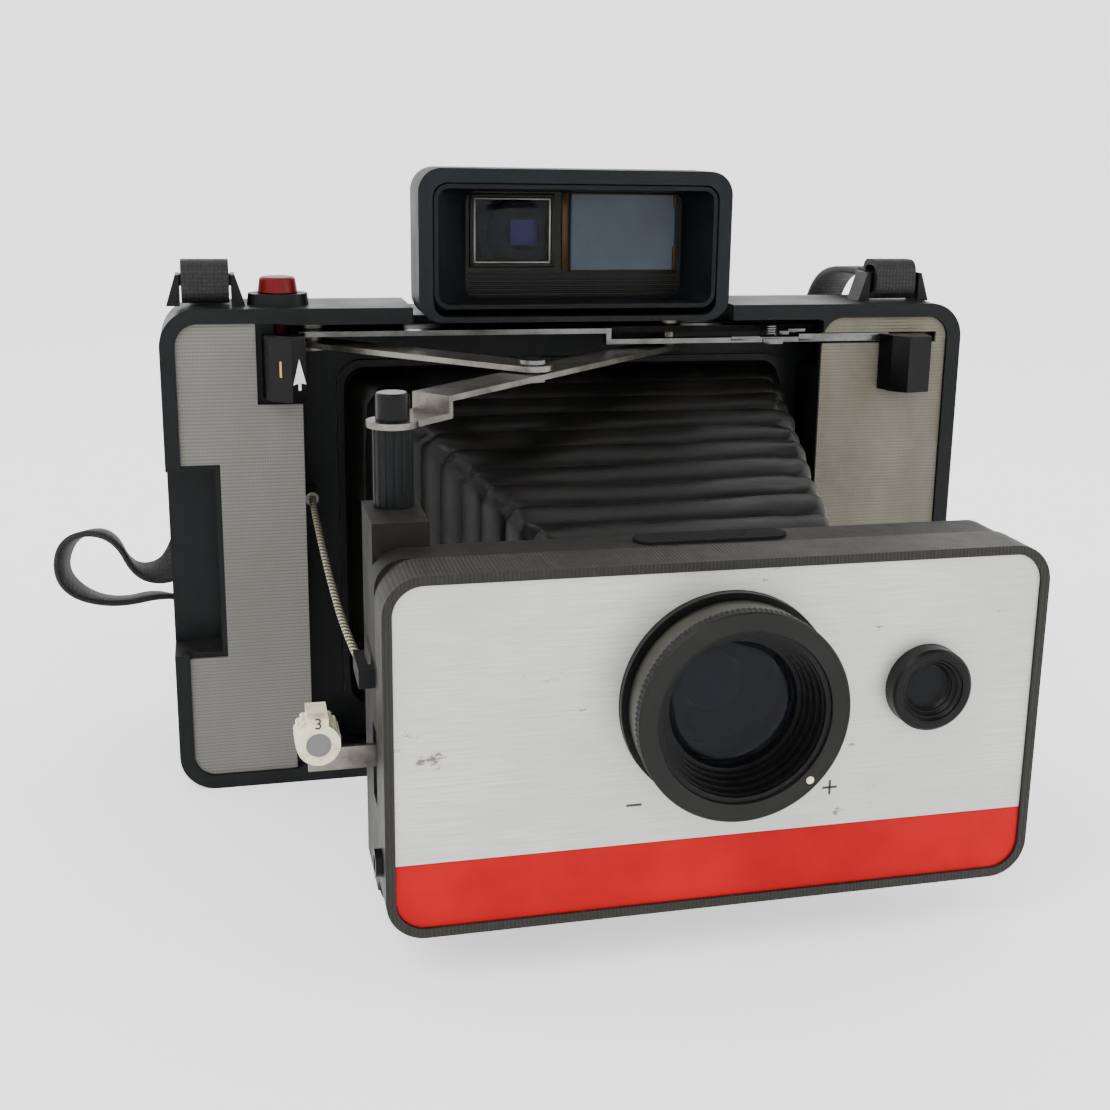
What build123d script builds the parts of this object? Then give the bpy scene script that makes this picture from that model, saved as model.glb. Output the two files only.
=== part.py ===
from build123d import *
import os
from math import cos, sin, tan, radians

os.makedirs("parts", exist_ok=True)

# Folding pack-film camera.  Front faces -Y, +Z up, X = 0 mid-body, Y = 0 the front flange, Z = 0 the base.

# ---- body
body_w = 195.0
body_h = 114.7
cast_d = 22.0
corner_r = 8.5
flange = 3.3
frame_inset = 3.0
frame_d = 8.0
door_gap = 0.3
door_d = 11.7
wall = 1.8
mech_x = (-66.3, 60.3)
mech_z = (3.0, body_h - 3.7)
body_x = (-body_w / 2, body_w / 2)
mech_d = 17.0
partition = 1.7
panel_t = 0.8
panel_drop = 0.8
gap = 0.1
fit = 0.1

# ---- film gate and chamber
lens_x = 3.8
lens_z = 53.5
gate_w = 95.0
gate_h = 73.0
chamber_x = (-68.0, 72.0)
chamber_z = (6.0, mech_z[1] - 3.0)
roller_x = body_x[0] + 17.5
roller_r = 3.6
roller_len = 94.0
roller_nip = 0.1
roller_y = 30.2
battery_top = 62.0
grip_x = body_x[0] + 10.9
grip_z = (34.0, 78.0)
grip_d = 11.0

# ---- folding linkage
hinge_o = (mech_x[0] + 3.0, 11.0)
arm = 61.5
post_reach = 47.7
open_angle = 45.0
fold_range = 40.0
strut_w = 9.0
strut_t = 1.2
strut_gap = 0.4
upper_short_z = mech_z[1] - 6.0
upper_long_z = upper_short_z - strut_t - strut_gap
lower_short_z = mech_z[0] + 2.4
lower_long_z = lower_short_z + strut_t + strut_gap
pin_r = 1.5
pivot_r = 2.0
rivet_r = 1.75
head_r = 3.2
joggle = 3.4
joggle_at = 12.0
post_rod_r = 2.0
sleeve_r = 3.9
cap_r = 3.25

# ---- front standard
rim_y = -99.3
cover_x = (-59.7, 68.4)
cover_z = (11.0, 80.0)
seam_y = -87.9
rear_y = -79.1
cover_wall = 1.3
rim_w = 1.8
cover_r = 7.5
plate_t = 0.8
plate_drop = 0.6
band_top = 25.5
ear_x = (cover_x[0] + 0.5, cover_x[0] + 11.1)
ear_y = (rear_y, rear_y + 17.7)
ear_top = 84.6

# ---- lens
ring_r = 20.0
ring_front = -110.0
ring_back = -100.4
barrel_r = 16.4
glass_r = 12.25
flange_r = ring_r + 0.6
light_bore = 15.0
eye_x = 44.0
eye_z = 53.0
eye_r = 8.15

# ---- finder
hood_x = (-39.6, 35.3)
hood_z = (mech_z[1] + gap, mech_z[1] + 35.1)
hood_d = 14.5
hood_wall = 2.0
tail_x = (-34.0, 31.0)
tail_top = hood_z[1] - 3.1
tail_d = 41.0
hood_r = 5.5

# ---- focus
focus_travel = 6.5
bar_t = 1.2
button_front = -8.0
bar_slot_z = (mech_z[1] - 6.2, mech_z[1] - 3.2)
# each button: its sides, its height, its upright ridge
button_rows = (
    ((mech_x[0] - 8.9, mech_x[0] + 1.0), (mech_z[1] - 16.5, mech_z[1] - 1.7), mech_x[0] - 2.7),
    ((mech_x[1] + 15.1, mech_x[1] + 26.5), (mech_z[1] - 17.4, mech_z[1] - 3.6), mech_x[1] + 19.6),
)
button_relief_x = mech_x[0] - 10.2
bar_slot_end = mech_x[1] + 24.2 + focus_travel

# ---- shutter button
button_x = mech_x[0] - 4.6
button_y = 10.0

# ---- neck strap
strap_w = 10.5
strap_t = 1.5
lug_left_x = body_x[0] + 10.5
lug_right_x = body_x[1] - 16.1
lug_top = body_h + 7.0


def block(x, y, z, mode=Mode.ADD):
    """A box between three (low, high) pairs."""
    with Locations(((x[0] + x[1]) / 2, (y[0] + y[1]) / 2, (z[0] + z[1]) / 2)):
        Box(x[1] - x[0], y[1] - y[0], z[1] - z[0], mode=mode)


def rod_x(y, z, x, radius, mode=Mode.ADD):
    """A round bar along X between x[0] and x[1]."""
    with Locations(((x[0] + x[1]) / 2, y, z)):
        Cylinder(radius, x[1] - x[0], rotation=(0, 90, 0), mode=mode)


def rod_y(x, z, y, radius, mode=Mode.ADD):
    """A round bar along Y between y[0] and y[1]."""
    with Locations((x, (y[0] + y[1]) / 2, z)):
        Cylinder(radius, y[1] - y[0], rotation=(90, 0, 0), mode=mode)


def rod_z(x, y, z, radius, mode=Mode.ADD):
    """A round bar along Z between z[0] and z[1]."""
    with Locations((x, y, (z[0] + z[1]) / 2)):
        Cylinder(radius, z[1] - z[0], mode=mode)


def upright_plate(x, z, y, radius, mode=Mode.ADD):
    """A plate seen from the front with four round corners, from y[0] to y[1]."""
    with BuildSketch(Plane((0, y[1], 0), x_dir=(1, 0, 0), z_dir=(0, -1, 0))) as outline:
        with Locations(((x[0] + x[1]) / 2, (z[0] + z[1]) / 2)):
            RectangleRounded(x[1] - x[0], z[1] - z[0], radius)
    extrude(outline.sketch, amount=y[1] - y[0], mode=mode)


def strut_plane(origin, angle, z):
    """A plane at height z with its x axis along a strut."""
    direction = (cos(radians(angle)), sin(radians(angle)), 0)
    return Plane((origin[0], origin[1], z), x_dir=direction, z_dir=(0, 0, 1))


def along(origin, angle, length):
    return (origin[0] + length * cos(radians(angle)), origin[1] + length * sin(radians(angle)))


pivot_r_xy = along(hinge_o, -open_angle, arm)
slider_open = along(pivot_r_xy, open_angle, arm)
post_xy = along(pivot_r_xy, 180 + open_angle, post_reach)
slider_folded = (hinge_o[0] + 2 * arm * cos(radians(open_angle - fold_range)), hinge_o[1])

frame_x = (body_x[0] + frame_inset, body_x[1] - frame_inset)
frame_z = (0.0, mech_z[1])
door_z = (0.6, mech_z[1])
door_wall = 1.2
pocket_h = 9.0
hollow_z = (14.0, button_rows[0][1][0] - 2.5)
exit_z = (lens_z - 43.5, lens_z + 50.5)
cast_y = (0, cast_d)
frame_y = (cast_d, cast_d + frame_d)
back_y = frame_y[1]
gate_x = (lens_x - gate_w / 2, lens_x + gate_w / 2)
gate_z = (lens_z - gate_h / 2, lens_z + gate_h / 2)
left_panel_x = (body_x[0] + flange, mech_x[0])
right_panel_x = (mech_x[1], body_x[1] - flange - 0.4)
panel_z = (flange, body_h - flange)
chamber_y = (mech_d + partition, back_y)
behind_panel_y = (panel_drop + panel_t + wall, mech_d)

# ---- body shell: front casting, film chamber frame, mechanism recess, film gate
with BuildPart() as body_shell:
    upright_plate(body_x, (0, body_h), cast_y, corner_r)
    block(frame_x, frame_y, frame_z)
    upright_plate(mech_x, mech_z, (0, mech_d), 1.0, Mode.SUBTRACT)
    for panel_x in (left_panel_x, right_panel_x):
        upright_plate(panel_x, panel_z, (0, panel_drop + panel_t), corner_r - flange, Mode.SUBTRACT)
    block(chamber_x, chamber_y, chamber_z, Mode.SUBTRACT)
    block(gate_x, (mech_d, mech_d + partition), gate_z, Mode.SUBTRACT)
    for end_z in ((mech_z[0], mech_z[0] + pocket_h), (mech_z[1] - 13.0, mech_z[1])):
        block((mech_x[1] - 2.0, slider_folded[0] + strut_w), behind_panel_y, end_z, Mode.SUBTRACT)
        block((hinge_o[0] - strut_w, mech_x[0] + 2.0), behind_panel_y, end_z, Mode.SUBTRACT)
    # roller pocket and film exit slot on the left, battery pocket on the right
    block((grip_x + wall, chamber_x[0] - wall), (roller_y - 11.0, back_y), chamber_z, Mode.SUBTRACT)
    block((chamber_x[0] - wall, chamber_x[0]), (roller_y - 3.0, back_y), chamber_z, Mode.SUBTRACT)
    block((frame_x[0], grip_x + wall), (roller_y - 2.0, back_y), exit_z, Mode.SUBTRACT)
    block((chamber_x[1] + wall, frame_x[1] - wall), (8.0, back_y), (8.0, battery_top), Mode.SUBTRACT)
    # finger recess in the left edge
    block((body_x[0], grip_x), (0, grip_d), grip_z, Mode.SUBTRACT)
    # hollow behind the left panel
    block((body_x[0] + 12.5, mech_x[0] - 2.7), (panel_drop + panel_t + wall, roller_y - 13.0), hollow_z, Mode.SUBTRACT)
    # seat of the finder in the top edge
    block((hood_x[0] - 1.4, hood_x[1] + 1.4), (0, back_y), (mech_z[1], body_h), Mode.SUBTRACT)
    # plunger hole under the shutter button
    rod_z(button_x, button_y, (mech_z[1] - 8, body_h), 2.1, Mode.SUBTRACT)
    # relief for the two focus buttons and the focus bar
    block((button_relief_x, mech_x[0] + 2.0), (0, 3.4), (mech_z[1] - 18.2, mech_z[1]), Mode.SUBTRACT)
    block((mech_x[1] - 2.0, bar_slot_end), (0, 3.4), bar_slot_z, Mode.SUBTRACT)
body_shell.part.label = "body_shell"
export_step(body_shell.part, "parts/body_shell.step")

# ---- trim panels in the two wings of the front casting
with BuildPart() as left_trim_panel:
    upright_plate(
        (left_panel_x[0] + gap, left_panel_x[1] - gap),
        (panel_z[0] + gap, panel_z[1] - gap),
        (panel_drop, panel_drop + panel_t),
        corner_r - flange - gap,
    )
    block((body_x[0], grip_x + 1.2), (-1, 3), (grip_z[0] - 1.2, grip_z[1] + 1.2), Mode.SUBTRACT)
    block((button_relief_x, mech_x[0] + 2.0), (-1, 3), (mech_z[1] - 18.2, body_h), Mode.SUBTRACT)
    block((mech_x[0] - 3.9, mech_x[0] + 2.0), (-1, 3), (0, 7.2), Mode.SUBTRACT)
left_trim_panel.part.label = "left_trim_panel"
export_step(left_trim_panel.part, "parts/left_trim_panel.step")

with BuildPart() as right_trim_panel:
    upright_plate(
        (right_panel_x[0] + gap, right_panel_x[1] - gap),
        (panel_z[0] + gap, panel_z[1] - gap),
        (panel_drop, panel_drop + panel_t),
        corner_r - flange - gap,
    )
    block((mech_x[1] - 1.0, bar_slot_end), (-1, 3), (bar_slot_z[0] + 0.2, bar_slot_z[1] - 0.2), Mode.SUBTRACT)
right_trim_panel.part.label = "right_trim_panel"
export_step(right_trim_panel.part, "parts/right_trim_panel.step")


# ---- strap lugs: two feet and a cross bar each, with the strap's loop round the bar
lug_middles = (lug_left_x, lug_right_x)
lug_halves = (8.7, 9.6)
lug_foot = 3.0
with BuildPart() as strap_lugs:
    for x_mid, half in zip(lug_middles, lug_halves):
        arch = (x_mid - half + lug_foot, x_mid + half - lug_foot)
        with BuildSketch(Plane((0, 13.5, 0), x_dir=(1, 0, 0), z_dir=(0, -1, 0))) as lug_face:
            with BuildLine():
                Polyline(
                    (x_mid - half, body_h),
                    (x_mid - half + 2.2, lug_top),
                    (x_mid + half - 2.2, lug_top),
                    (x_mid + half, body_h),
                    close=True,
                )
            make_face()
        extrude(lug_face.sketch, amount=7.0)
        block(arch, (0, 20), (body_h - 1, lug_top - 2.6), Mode.SUBTRACT)
        block(arch, (0, 8.3), (body_h, lug_top + 1), Mode.SUBTRACT)
        block(arch, (11.7, 20), (body_h, lug_top + 1), Mode.SUBTRACT)
strap_lugs.part.label = "strap_lugs"
export_step(strap_lugs.part, "parts/strap_lugs.step")

loop_low = body_h + 0.5
loop_high = lug_top + 3.2
with BuildPart() as strap_loops:
    for x_mid in lug_middles:
        with BuildSketch(Plane((x_mid - strap_w / 2, 0, 0), x_dir=(0, 1, 0), z_dir=(1, 0, 0))) as band:
            with Locations((10.0, (loop_low + loop_high) / 2)):
                RectangleRounded(9.0, loop_high - loop_low, 3.0)
                RectangleRounded(9.0 - 2 * strap_t, loop_high - loop_low - 2 * strap_t, 1.6, mode=Mode.SUBTRACT)
            with Locations((15.4, lug_top - 1.0)):
                Rectangle(3.8, 2 * strap_t)
        extrude(band.sketch, amount=strap_w)
strap_loops.part.label = "strap_loops"
export_step(strap_loops.part, "parts/strap_loops.step")

# ---- neck strap: over the back of the camera, out in one loop on the left, across the table, up to the other lug
strap_points = [
    (-87.0, 17.4, 120.7),
    (-87.0, 38.0, 121.6),
    (-87.6, 56.0, 109.0),
    (-88.4, 61.0, 84.0),
    (-90.0, 57.0, 60.0),
    (-96.0, 52.0, 41.0),
    (-108.0, 50.0, 39.5),
    (-113.0, 49.0, 52.5),
    (-124.5, 50.0, 51.5),
    (-127.0, 52.0, 38.5),
    (-115.0, 55.0, 30.5),
    (-99.0, 58.0, 33.0),
    (-86.0, 61.0, 22.0),
    (-72.0, 65.0, 7.5),
    (-46.0, 73.0, 5.6),
    (-14.0, 86.0, 5.5),
    (22.0, 89.0, 5.6),
    (54.0, 78.0, 5.8),
    (76.0, 66.0, 13.0),
    (84.5, 60.5, 36.0),
    (84.0, 62.0, 64.0),
    (82.6, 61.0, 91.0),
    (81.8, 54.0, 113.0),
    (81.4, 37.0, 121.6),
    (81.4, 17.4, 120.7),
]


def arc_radii(points):
    """Each corner's radius: 0.45 of its shorter run over the tangent of half the turn."""
    radii = []
    for before, here, after in zip(points, points[1:], points[2:]):
        run_in = Vector(*here) - Vector(*before)
        run_out = Vector(*after) - Vector(*here)
        shorter = min(run_in.length, run_out.length)
        radii.append(0.45 * shorter / tan(radians(run_in.get_angle(run_out)) / 2))
    return radii


strap_radii = arc_radii(strap_points)
with BuildPart() as neck_strap:
    with BuildLine() as strap_path:
        FilletPolyline(*strap_points, radius=strap_radii)
    with BuildSketch(strap_path.line ^ 0):
        Circle(strap_w / 2 - 0.05)
    sweep()
neck_strap.part.label = "neck_strap"
export_step(neck_strap.part, "parts/neck_strap.step")
print("strap radii", [round(r, 1) for r in strap_radii])
print("strap length", round(strap_path.wires()[0].length, 1), "volume", round(neck_strap.part.volume, 1))

# ---- shutter button in its boss
with BuildPart() as button_boss:
    with BuildSketch(Plane.XY.offset(body_h)):
        with Locations((button_x, button_y)):
            SlotCenterToCenter(4.0, 10.0)
    extrude(amount=2.6, taper=6)
    rod_z(button_x, button_y, (body_h - 1, body_h + 4), 4.55 + fit, Mode.SUBTRACT)
button_boss.part.label = "button_boss"
export_step(button_boss.part, "parts/button_boss.step")

with BuildPart() as shutter_button:
    with Locations((button_x, button_y, body_h + 4.6)):
        Cone(4.5, 4.0, 3.4)
    fillet(shutter_button.edges().sort_by(Axis.Z)[-1], 0.8)
    rod_z(button_x, button_y, (mech_z[1] - 4, body_h + 3.0), 2.0)
shutter_button.part.label = "shutter_button"
export_step(shutter_button.part, "parts/shutter_button.step")

# ---- slider guides: plates with the hinge pin holes and the straight slots
guide_x = (hinge_o[0] - 5.0, slider_folded[0] + 4.6)
guide_y = (5.4, mech_d - gap)
upper_guide_z = (mech_z[1] - 3.3, mech_z[1] - 1.8)
lower_guide_z = (mech_z[0], mech_z[0] + 1.2)
with BuildPart() as slider_guides:
    for z in (upper_guide_z, lower_guide_z):
        block(guide_x, guide_y, z)
        with BuildSketch(Plane.XY.offset(z[0])) as openings:
            with Locations(((slider_open[0] + slider_folded[0]) / 2, hinge_o[1])):
                SlotCenterToCenter(slider_folded[0] - slider_open[0] + 1.0, 2 * (pin_r + fit))
            with Locations(hinge_o):
                Circle(pivot_r)
        extrude(openings.sketch, amount=z[1] - z[0], mode=Mode.SUBTRACT)
slider_guides.part.label = "slider_guides"
export_step(slider_guides.part, "parts/slider_guides.step")

with BuildPart() as hinge_pins:
    rod_z(*hinge_o, (upper_short_z - 0.2, upper_guide_z[1]), pivot_r)
    rod_z(*hinge_o, (upper_guide_z[1], upper_guide_z[1] + 1.0), head_r)
    rod_z(*hinge_o, (upper_short_z - 1.0, upper_short_z - 0.2), head_r)
    rod_z(*hinge_o, (lower_guide_z[0], lower_short_z + strut_t + 0.2), pivot_r)
    rod_z(*hinge_o, (lower_short_z + strut_t + 0.2, lower_short_z + strut_t + 1.0), head_r)
hinge_pins.part.label = "hinge_pins"
export_step(hinge_pins.part, "parts/hinge_pins.step")


# ---- struts
def short_strut(z):
    """The solid of a short strut from the body hinge to the middle rivet."""
    with BuildPart() as strut:
        with BuildSketch(strut_plane(hinge_o, -open_angle, z)):
            with Locations((arm / 2, 0)):
                SlotCenterToCenter(arm, strut_w)
            with Locations((0, 0)):
                Circle(pivot_r + fit, mode=Mode.SUBTRACT)
            with Locations((arm, 0)):
                Circle(rivet_r + fit, mode=Mode.SUBTRACT)
        extrude(amount=strut_t)
    return strut


short_strut_upper = short_strut(upper_short_z)
short_strut_upper.part.label = "short_strut_upper"
export_step(short_strut_upper.part, "parts/short_strut_upper.step")

short_strut_lower = short_strut(lower_short_z)
short_strut_lower.part.label = "short_strut_lower"
export_step(short_strut_lower.part, "parts/short_strut_lower.step")

long_len = arm + post_reach
with BuildPart() as long_strut_upper:
    with BuildSketch(strut_plane(post_xy, open_angle, upper_long_z)):
        with Locations(((joggle_at + long_len) / 2, 0)):
            Rectangle(long_len - joggle_at, strut_w)
        with Locations((long_len, 0)):
            Circle(strut_w / 2)
        with Locations((post_reach, 0)):
            Circle(rivet_r, mode=Mode.SUBTRACT)
        with Locations((long_len, 0)):
            Circle(pin_r, mode=Mode.SUBTRACT)
    extrude(amount=strut_t)
    with BuildSketch(strut_plane(post_xy, open_angle, upper_long_z - joggle)):
        with Locations((joggle_at / 2, 0)):
            Rectangle(joggle_at, strut_w)
        Circle(5.0)
        Circle(post_rod_r, mode=Mode.SUBTRACT)
    extrude(amount=strut_t)
    with BuildSketch(strut_plane(post_xy, open_angle, upper_long_z - joggle)):
        with Locations((joggle_at + strut_t / 2 - 0.1, 0)):
            Rectangle(strut_t, strut_w)
    extrude(amount=joggle + strut_t)
long_strut_upper.part.label = "long_strut_upper"
export_step(long_strut_upper.part, "parts/long_strut_upper.step")

with BuildPart() as long_strut_lower:
    with BuildSketch(strut_plane(post_xy, open_angle, lower_long_z)):
        with Locations((long_len / 2, 0)):
            SlotCenterToCenter(long_len, strut_w)
        Circle(5.0)
        Circle(post_rod_r, mode=Mode.SUBTRACT)
        with Locations((post_reach, 0)):
            Circle(rivet_r + fit, mode=Mode.SUBTRACT)
        with Locations((long_len, 0)):
            Circle(pin_r, mode=Mode.SUBTRACT)
    extrude(amount=strut_t)
long_strut_lower.part.label = "long_strut_lower"
export_step(long_strut_lower.part, "parts/long_strut_lower.step")

with BuildPart() as post:
    rod_z(*post_xy, (lower_long_z - 0.6, upper_long_z - joggle + strut_t), post_rod_r)
post.part.label = "post"
export_step(post.part, "parts/post.step")

sleeve_z = (ear_top + gap, upper_long_z - joggle)
with BuildPart() as post_sleeve:
    rod_z(*post_xy, sleeve_z, sleeve_r)
    rod_z(*post_xy, sleeve_z, post_rod_r, Mode.SUBTRACT)
    with BuildSketch(Plane((*post_xy, sleeve_z[0]))):
        with PolarLocations(sleeve_r + 0.35, 16):
            Circle(0.6)
    extrude(amount=sleeve_z[1] - sleeve_z[0], mode=Mode.SUBTRACT)
post_sleeve.part.label = "post_sleeve"
export_step(post_sleeve.part, "parts/post_sleeve.step")

cap_z = (upper_long_z - joggle + strut_t, upper_short_z + 1.5)
with BuildPart() as post_cap:
    rod_z(*post_xy, cap_z, cap_r)
    fillet(post_cap.edges().sort_by(Axis.Z)[-1], 0.6)
post_cap.part.label = "post_cap"
export_step(post_cap.part, "parts/post_cap.step")

with BuildPart() as strut_rivets:
    rod_z(*pivot_r_xy, (upper_long_z, upper_short_z + strut_t + 0.2), rivet_r)
    rod_z(*pivot_r_xy, (upper_short_z + strut_t + 0.2, upper_short_z + strut_t + 1.1), head_r)
    rod_z(*pivot_r_xy, (upper_long_z - 0.8, upper_long_z), head_r)
    rod_z(*pivot_r_xy, (lower_short_z - 0.2, lower_long_z + strut_t + 0.2), rivet_r)
    rod_z(*pivot_r_xy, (lower_short_z - 0.9, lower_short_z - 0.2), head_r)
    rod_z(*pivot_r_xy, (lower_long_z + strut_t + 0.2, lower_long_z + strut_t + 1.0), head_r)
strut_rivets.part.label = "strut_rivets"
export_step(strut_rivets.part, "parts/strut_rivets.step")

with BuildPart() as slider_pins:
    rod_z(*slider_open, (upper_long_z, upper_guide_z[1] + 0.2), pin_r)
    rod_z(*slider_open, (upper_guide_z[1] + 0.2, upper_guide_z[1] + 1.0), 2.7)
    rod_z(*slider_open, (lower_guide_z[0] + 0.2, lower_long_z + strut_t), pin_r)
slider_pins.part.label = "slider_pins"
export_step(slider_pins.part, "parts/slider_pins.step")

# ---- front standard
inner_plate_x = (cover_x[0] + rim_w, cover_x[1] - rim_w)
inner_plate_z = (cover_z[0] + rim_w, cover_z[1] - rim_w)
plate_y = (rim_y + plate_drop, rim_y + plate_drop + plate_t)
shelf = 1.0
socket_y = -93.4
socket_z = 24.0
socket_r = 2.6
with BuildPart() as front_cover:
    upright_plate(cover_x, cover_z, (rim_y, seam_y), cover_r)
    upright_plate(
        (cover_x[0] + cover_wall, cover_x[1] - cover_wall),
        (cover_z[0] + cover_wall, cover_z[1] - cover_wall),
        (plate_y[1] + shelf, seam_y),
        cover_r - cover_wall,
        Mode.SUBTRACT,
    )
    upright_plate(inner_plate_x, inner_plate_z, (rim_y, plate_y[1]), cover_r - rim_w, Mode.SUBTRACT)
    rod_y(lens_x, lens_z, (plate_y[1], plate_y[1] + shelf), barrel_r + fit, Mode.SUBTRACT)
    rod_y(eye_x, eye_z, (plate_y[1], plate_y[1] + shelf), eye_r - 1.0, Mode.SUBTRACT)
    rod_x(socket_y, socket_z, (cover_x[0] - 1, cover_x[0] + cover_wall), socket_r + fit, Mode.SUBTRACT)
front_cover.part.label = "front_cover"
export_step(front_cover.part, "parts/front_cover.step")

with BuildPart() as faceplate:
    upright_plate(
        (inner_plate_x[0] + gap, inner_plate_x[1] - gap),
        (inner_plate_z[0] + gap, inner_plate_z[1] - gap),
        plate_y,
        cover_r - rim_w - gap,
    )
    block(inner_plate_x, plate_y, (inner_plate_z[0], band_top + gap / 2), Mode.SUBTRACT)
    rod_y(lens_x, lens_z, plate_y, flange_r + fit, Mode.SUBTRACT)
    rod_y(eye_x, eye_z, plate_y, eye_r + fit, Mode.SUBTRACT)
faceplate.part.label = "faceplate"
export_step(faceplate.part, "parts/faceplate.step")

with BuildPart() as red_band:
    upright_plate(
        (inner_plate_x[0] + gap, inner_plate_x[1] - gap),
        (inner_plate_z[0] + gap, inner_plate_z[1] - gap),
        plate_y,
        cover_r - rim_w - gap,
    )
    block(inner_plate_x, plate_y, (band_top - gap / 2, inner_plate_z[1]), Mode.SUBTRACT)
red_band.part.label = "red_band"
export_step(red_band.part, "parts/red_band.step")

housing_x = (cover_x[0], cover_x[1] - 2.4)
housing_y = (seam_y + gap / 2, rear_y)
with BuildPart() as rear_housing:
    upright_plate(housing_x, cover_z, housing_y, cover_r - 2.0)
    upright_plate(
        (housing_x[0] + cover_wall, housing_x[1] - cover_wall),
        (cover_z[0] + cover_wall, cover_z[1] - cover_wall),
        (housing_y[0], housing_y[1] - cover_wall),
        cover_r - 2.0 - cover_wall,
        Mode.SUBTRACT,
    )
    block(ear_x, (housing_y[1] - 1, ear_y[1]), (cover_z[0] + 0.4, ear_top))
    rod_y(lens_x, lens_z, (housing_y[0], housing_y[1]), light_bore, Mode.SUBTRACT)
    rod_z(*post_xy, (cover_z[0], ear_top), post_rod_r + fit, Mode.SUBTRACT)
    block((ear_x[0] + 2.0, ear_x[1] - 2.0), (housing_y[1] + 0.8, -70.5), (15.0, 77.0), Mode.SUBTRACT)
    # window of the cocking lever's pivot in the left side
    block((cover_x[0] - 1, cover_x[0] + cover_wall), (-86.8, -80.6), (32.0, 47.0), Mode.SUBTRACT)
rear_housing.part.label = "rear_housing"
export_step(rear_housing.part, "parts/rear_housing.step")

with BuildPart() as foam_strip:
    with BuildSketch(Plane.XY.offset(cover_z[1])):
        with Locations((4.5, -83.6)):
            SlotCenterToCenter(24.0, 6.4)
    extrude(amount=0.6)
foam_strip.part.label = "foam_strip"
export_step(foam_strip.part, "parts/foam_strip.step")

# ---- lens: base flange and ridged barrel, glasses, exposure ring
barrel_y = (ring_front + 0.6, -81.0)
mouth_end = ring_front + 7.0
rear_cell_y = (-89.2, -87.0)
blade_room = (rear_cell_y[1], -84.0)
rear_glass_r = 5.8
with BuildPart() as lens_barrel:
    rod_y(lens_x, lens_z, (ring_back + 0.2, plate_y[1]), flange_r)
    rod_y(lens_x, lens_z, barrel_y, barrel_r)
    rod_y(lens_x, lens_z, (barrel_y[0], mouth_end), barrel_r - 1.0, Mode.SUBTRACT)
    rod_y(lens_x, lens_z, (mouth_end, rear_cell_y[0]), glass_r + fit, Mode.SUBTRACT)
    rod_y(lens_x, lens_z, rear_cell_y, rear_glass_r + fit, Mode.SUBTRACT)
    for step in range(4):
        ridge_y = (ring_front + 1.4 + 1.5 * step, ring_front + 2.5 + 1.5 * step)
        rod_y(lens_x, lens_z, ridge_y, barrel_r - 0.8)
        rod_y(lens_x, lens_z, ridge_y, barrel_r - 1.4 - 0.6 * step, Mode.SUBTRACT)
    rod_y(lens_x, lens_z, blade_room, barrel_r - 0.8, Mode.SUBTRACT)
    rod_y(lens_x, lens_z, (blade_room[1], barrel_y[1]), 8.0, Mode.SUBTRACT)
lens_barrel.part.label = "lens_barrel"
export_step(lens_barrel.part, "parts/lens_barrel.step")

with BuildPart() as front_lens:
    rod_y(lens_x, lens_z, (mouth_end + 1.5, mouth_end + 5.5), glass_r)
    with Locations((lens_x, mouth_end + 1.5 + 29.0, lens_z)):
        Sphere(31.0, mode=Mode.INTERSECT)
front_lens.part.label = "front_lens"
export_step(front_lens.part, "parts/front_lens.step")

with BuildPart() as rear_lens:
    rod_y(lens_x, lens_z, (rear_cell_y[0] - 0.8, rear_cell_y[1]), rear_glass_r)
    fillet(rear_lens.edges().sort_by(Axis.Y)[0], 0.7)
rear_lens.part.label = "rear_lens"
export_step(rear_lens.part, "parts/rear_lens.step")

knurl_y = (ring_front, ring_front + 2.8)
ring_waist_r = ring_r - 0.9
with BuildPart() as exposure_ring:
    rod_y(lens_x, lens_z, (ring_front, ring_back), ring_waist_r)
    rod_y(lens_x, lens_z, knurl_y, ring_r)
    rod_y(lens_x, lens_z, (ring_front, ring_back), barrel_r + fit, Mode.SUBTRACT)
    with BuildSketch(Plane((lens_x, knurl_y[1], lens_z), x_dir=(1, 0, 0), z_dir=(0, -1, 0))) as knurl:
        with PolarLocations(ring_r + 0.12, 120):
            Circle(0.34)
    extrude(knurl.sketch, amount=knurl_y[1] - knurl_y[0] - 0.5, mode=Mode.SUBTRACT)
    chamfer(exposure_ring.edges().filter_by(GeomType.CIRCLE).group_by(Axis.Y)[0].sort_by(SortBy.RADIUS)[-1], 0.3)
exposure_ring.part.label = "exposure_ring"
export_step(exposure_ring.part, "parts/exposure_ring.step")


# ---- shutter blades behind the lens, each on its own pin
blade_r = glass_r - 1.25
blade_t = 0.4
upper_blade_y = (blade_room[0] + 0.6, blade_room[0] + 0.6 + blade_t)
lower_blade_y = (upper_blade_y[1] + blade_t, upper_blade_y[1] + 2 * blade_t)
blade_pin = (9.0, 6.0)
with BuildPart() as shutter_blade_upper:
    rod_y(lens_x, lens_z, upper_blade_y, blade_r)
    block((lens_x - 2 * blade_r, lens_x + 2 * blade_r), upper_blade_y, (lens_z - 2 * blade_r, lens_z), Mode.SUBTRACT)
    rod_y(lens_x - blade_pin[0], lens_z + blade_pin[1], upper_blade_y, 1.5, Mode.SUBTRACT)
shutter_blade_upper.part.label = "shutter_blade_upper"
export_step(shutter_blade_upper.part, "parts/shutter_blade_upper.step")

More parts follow.
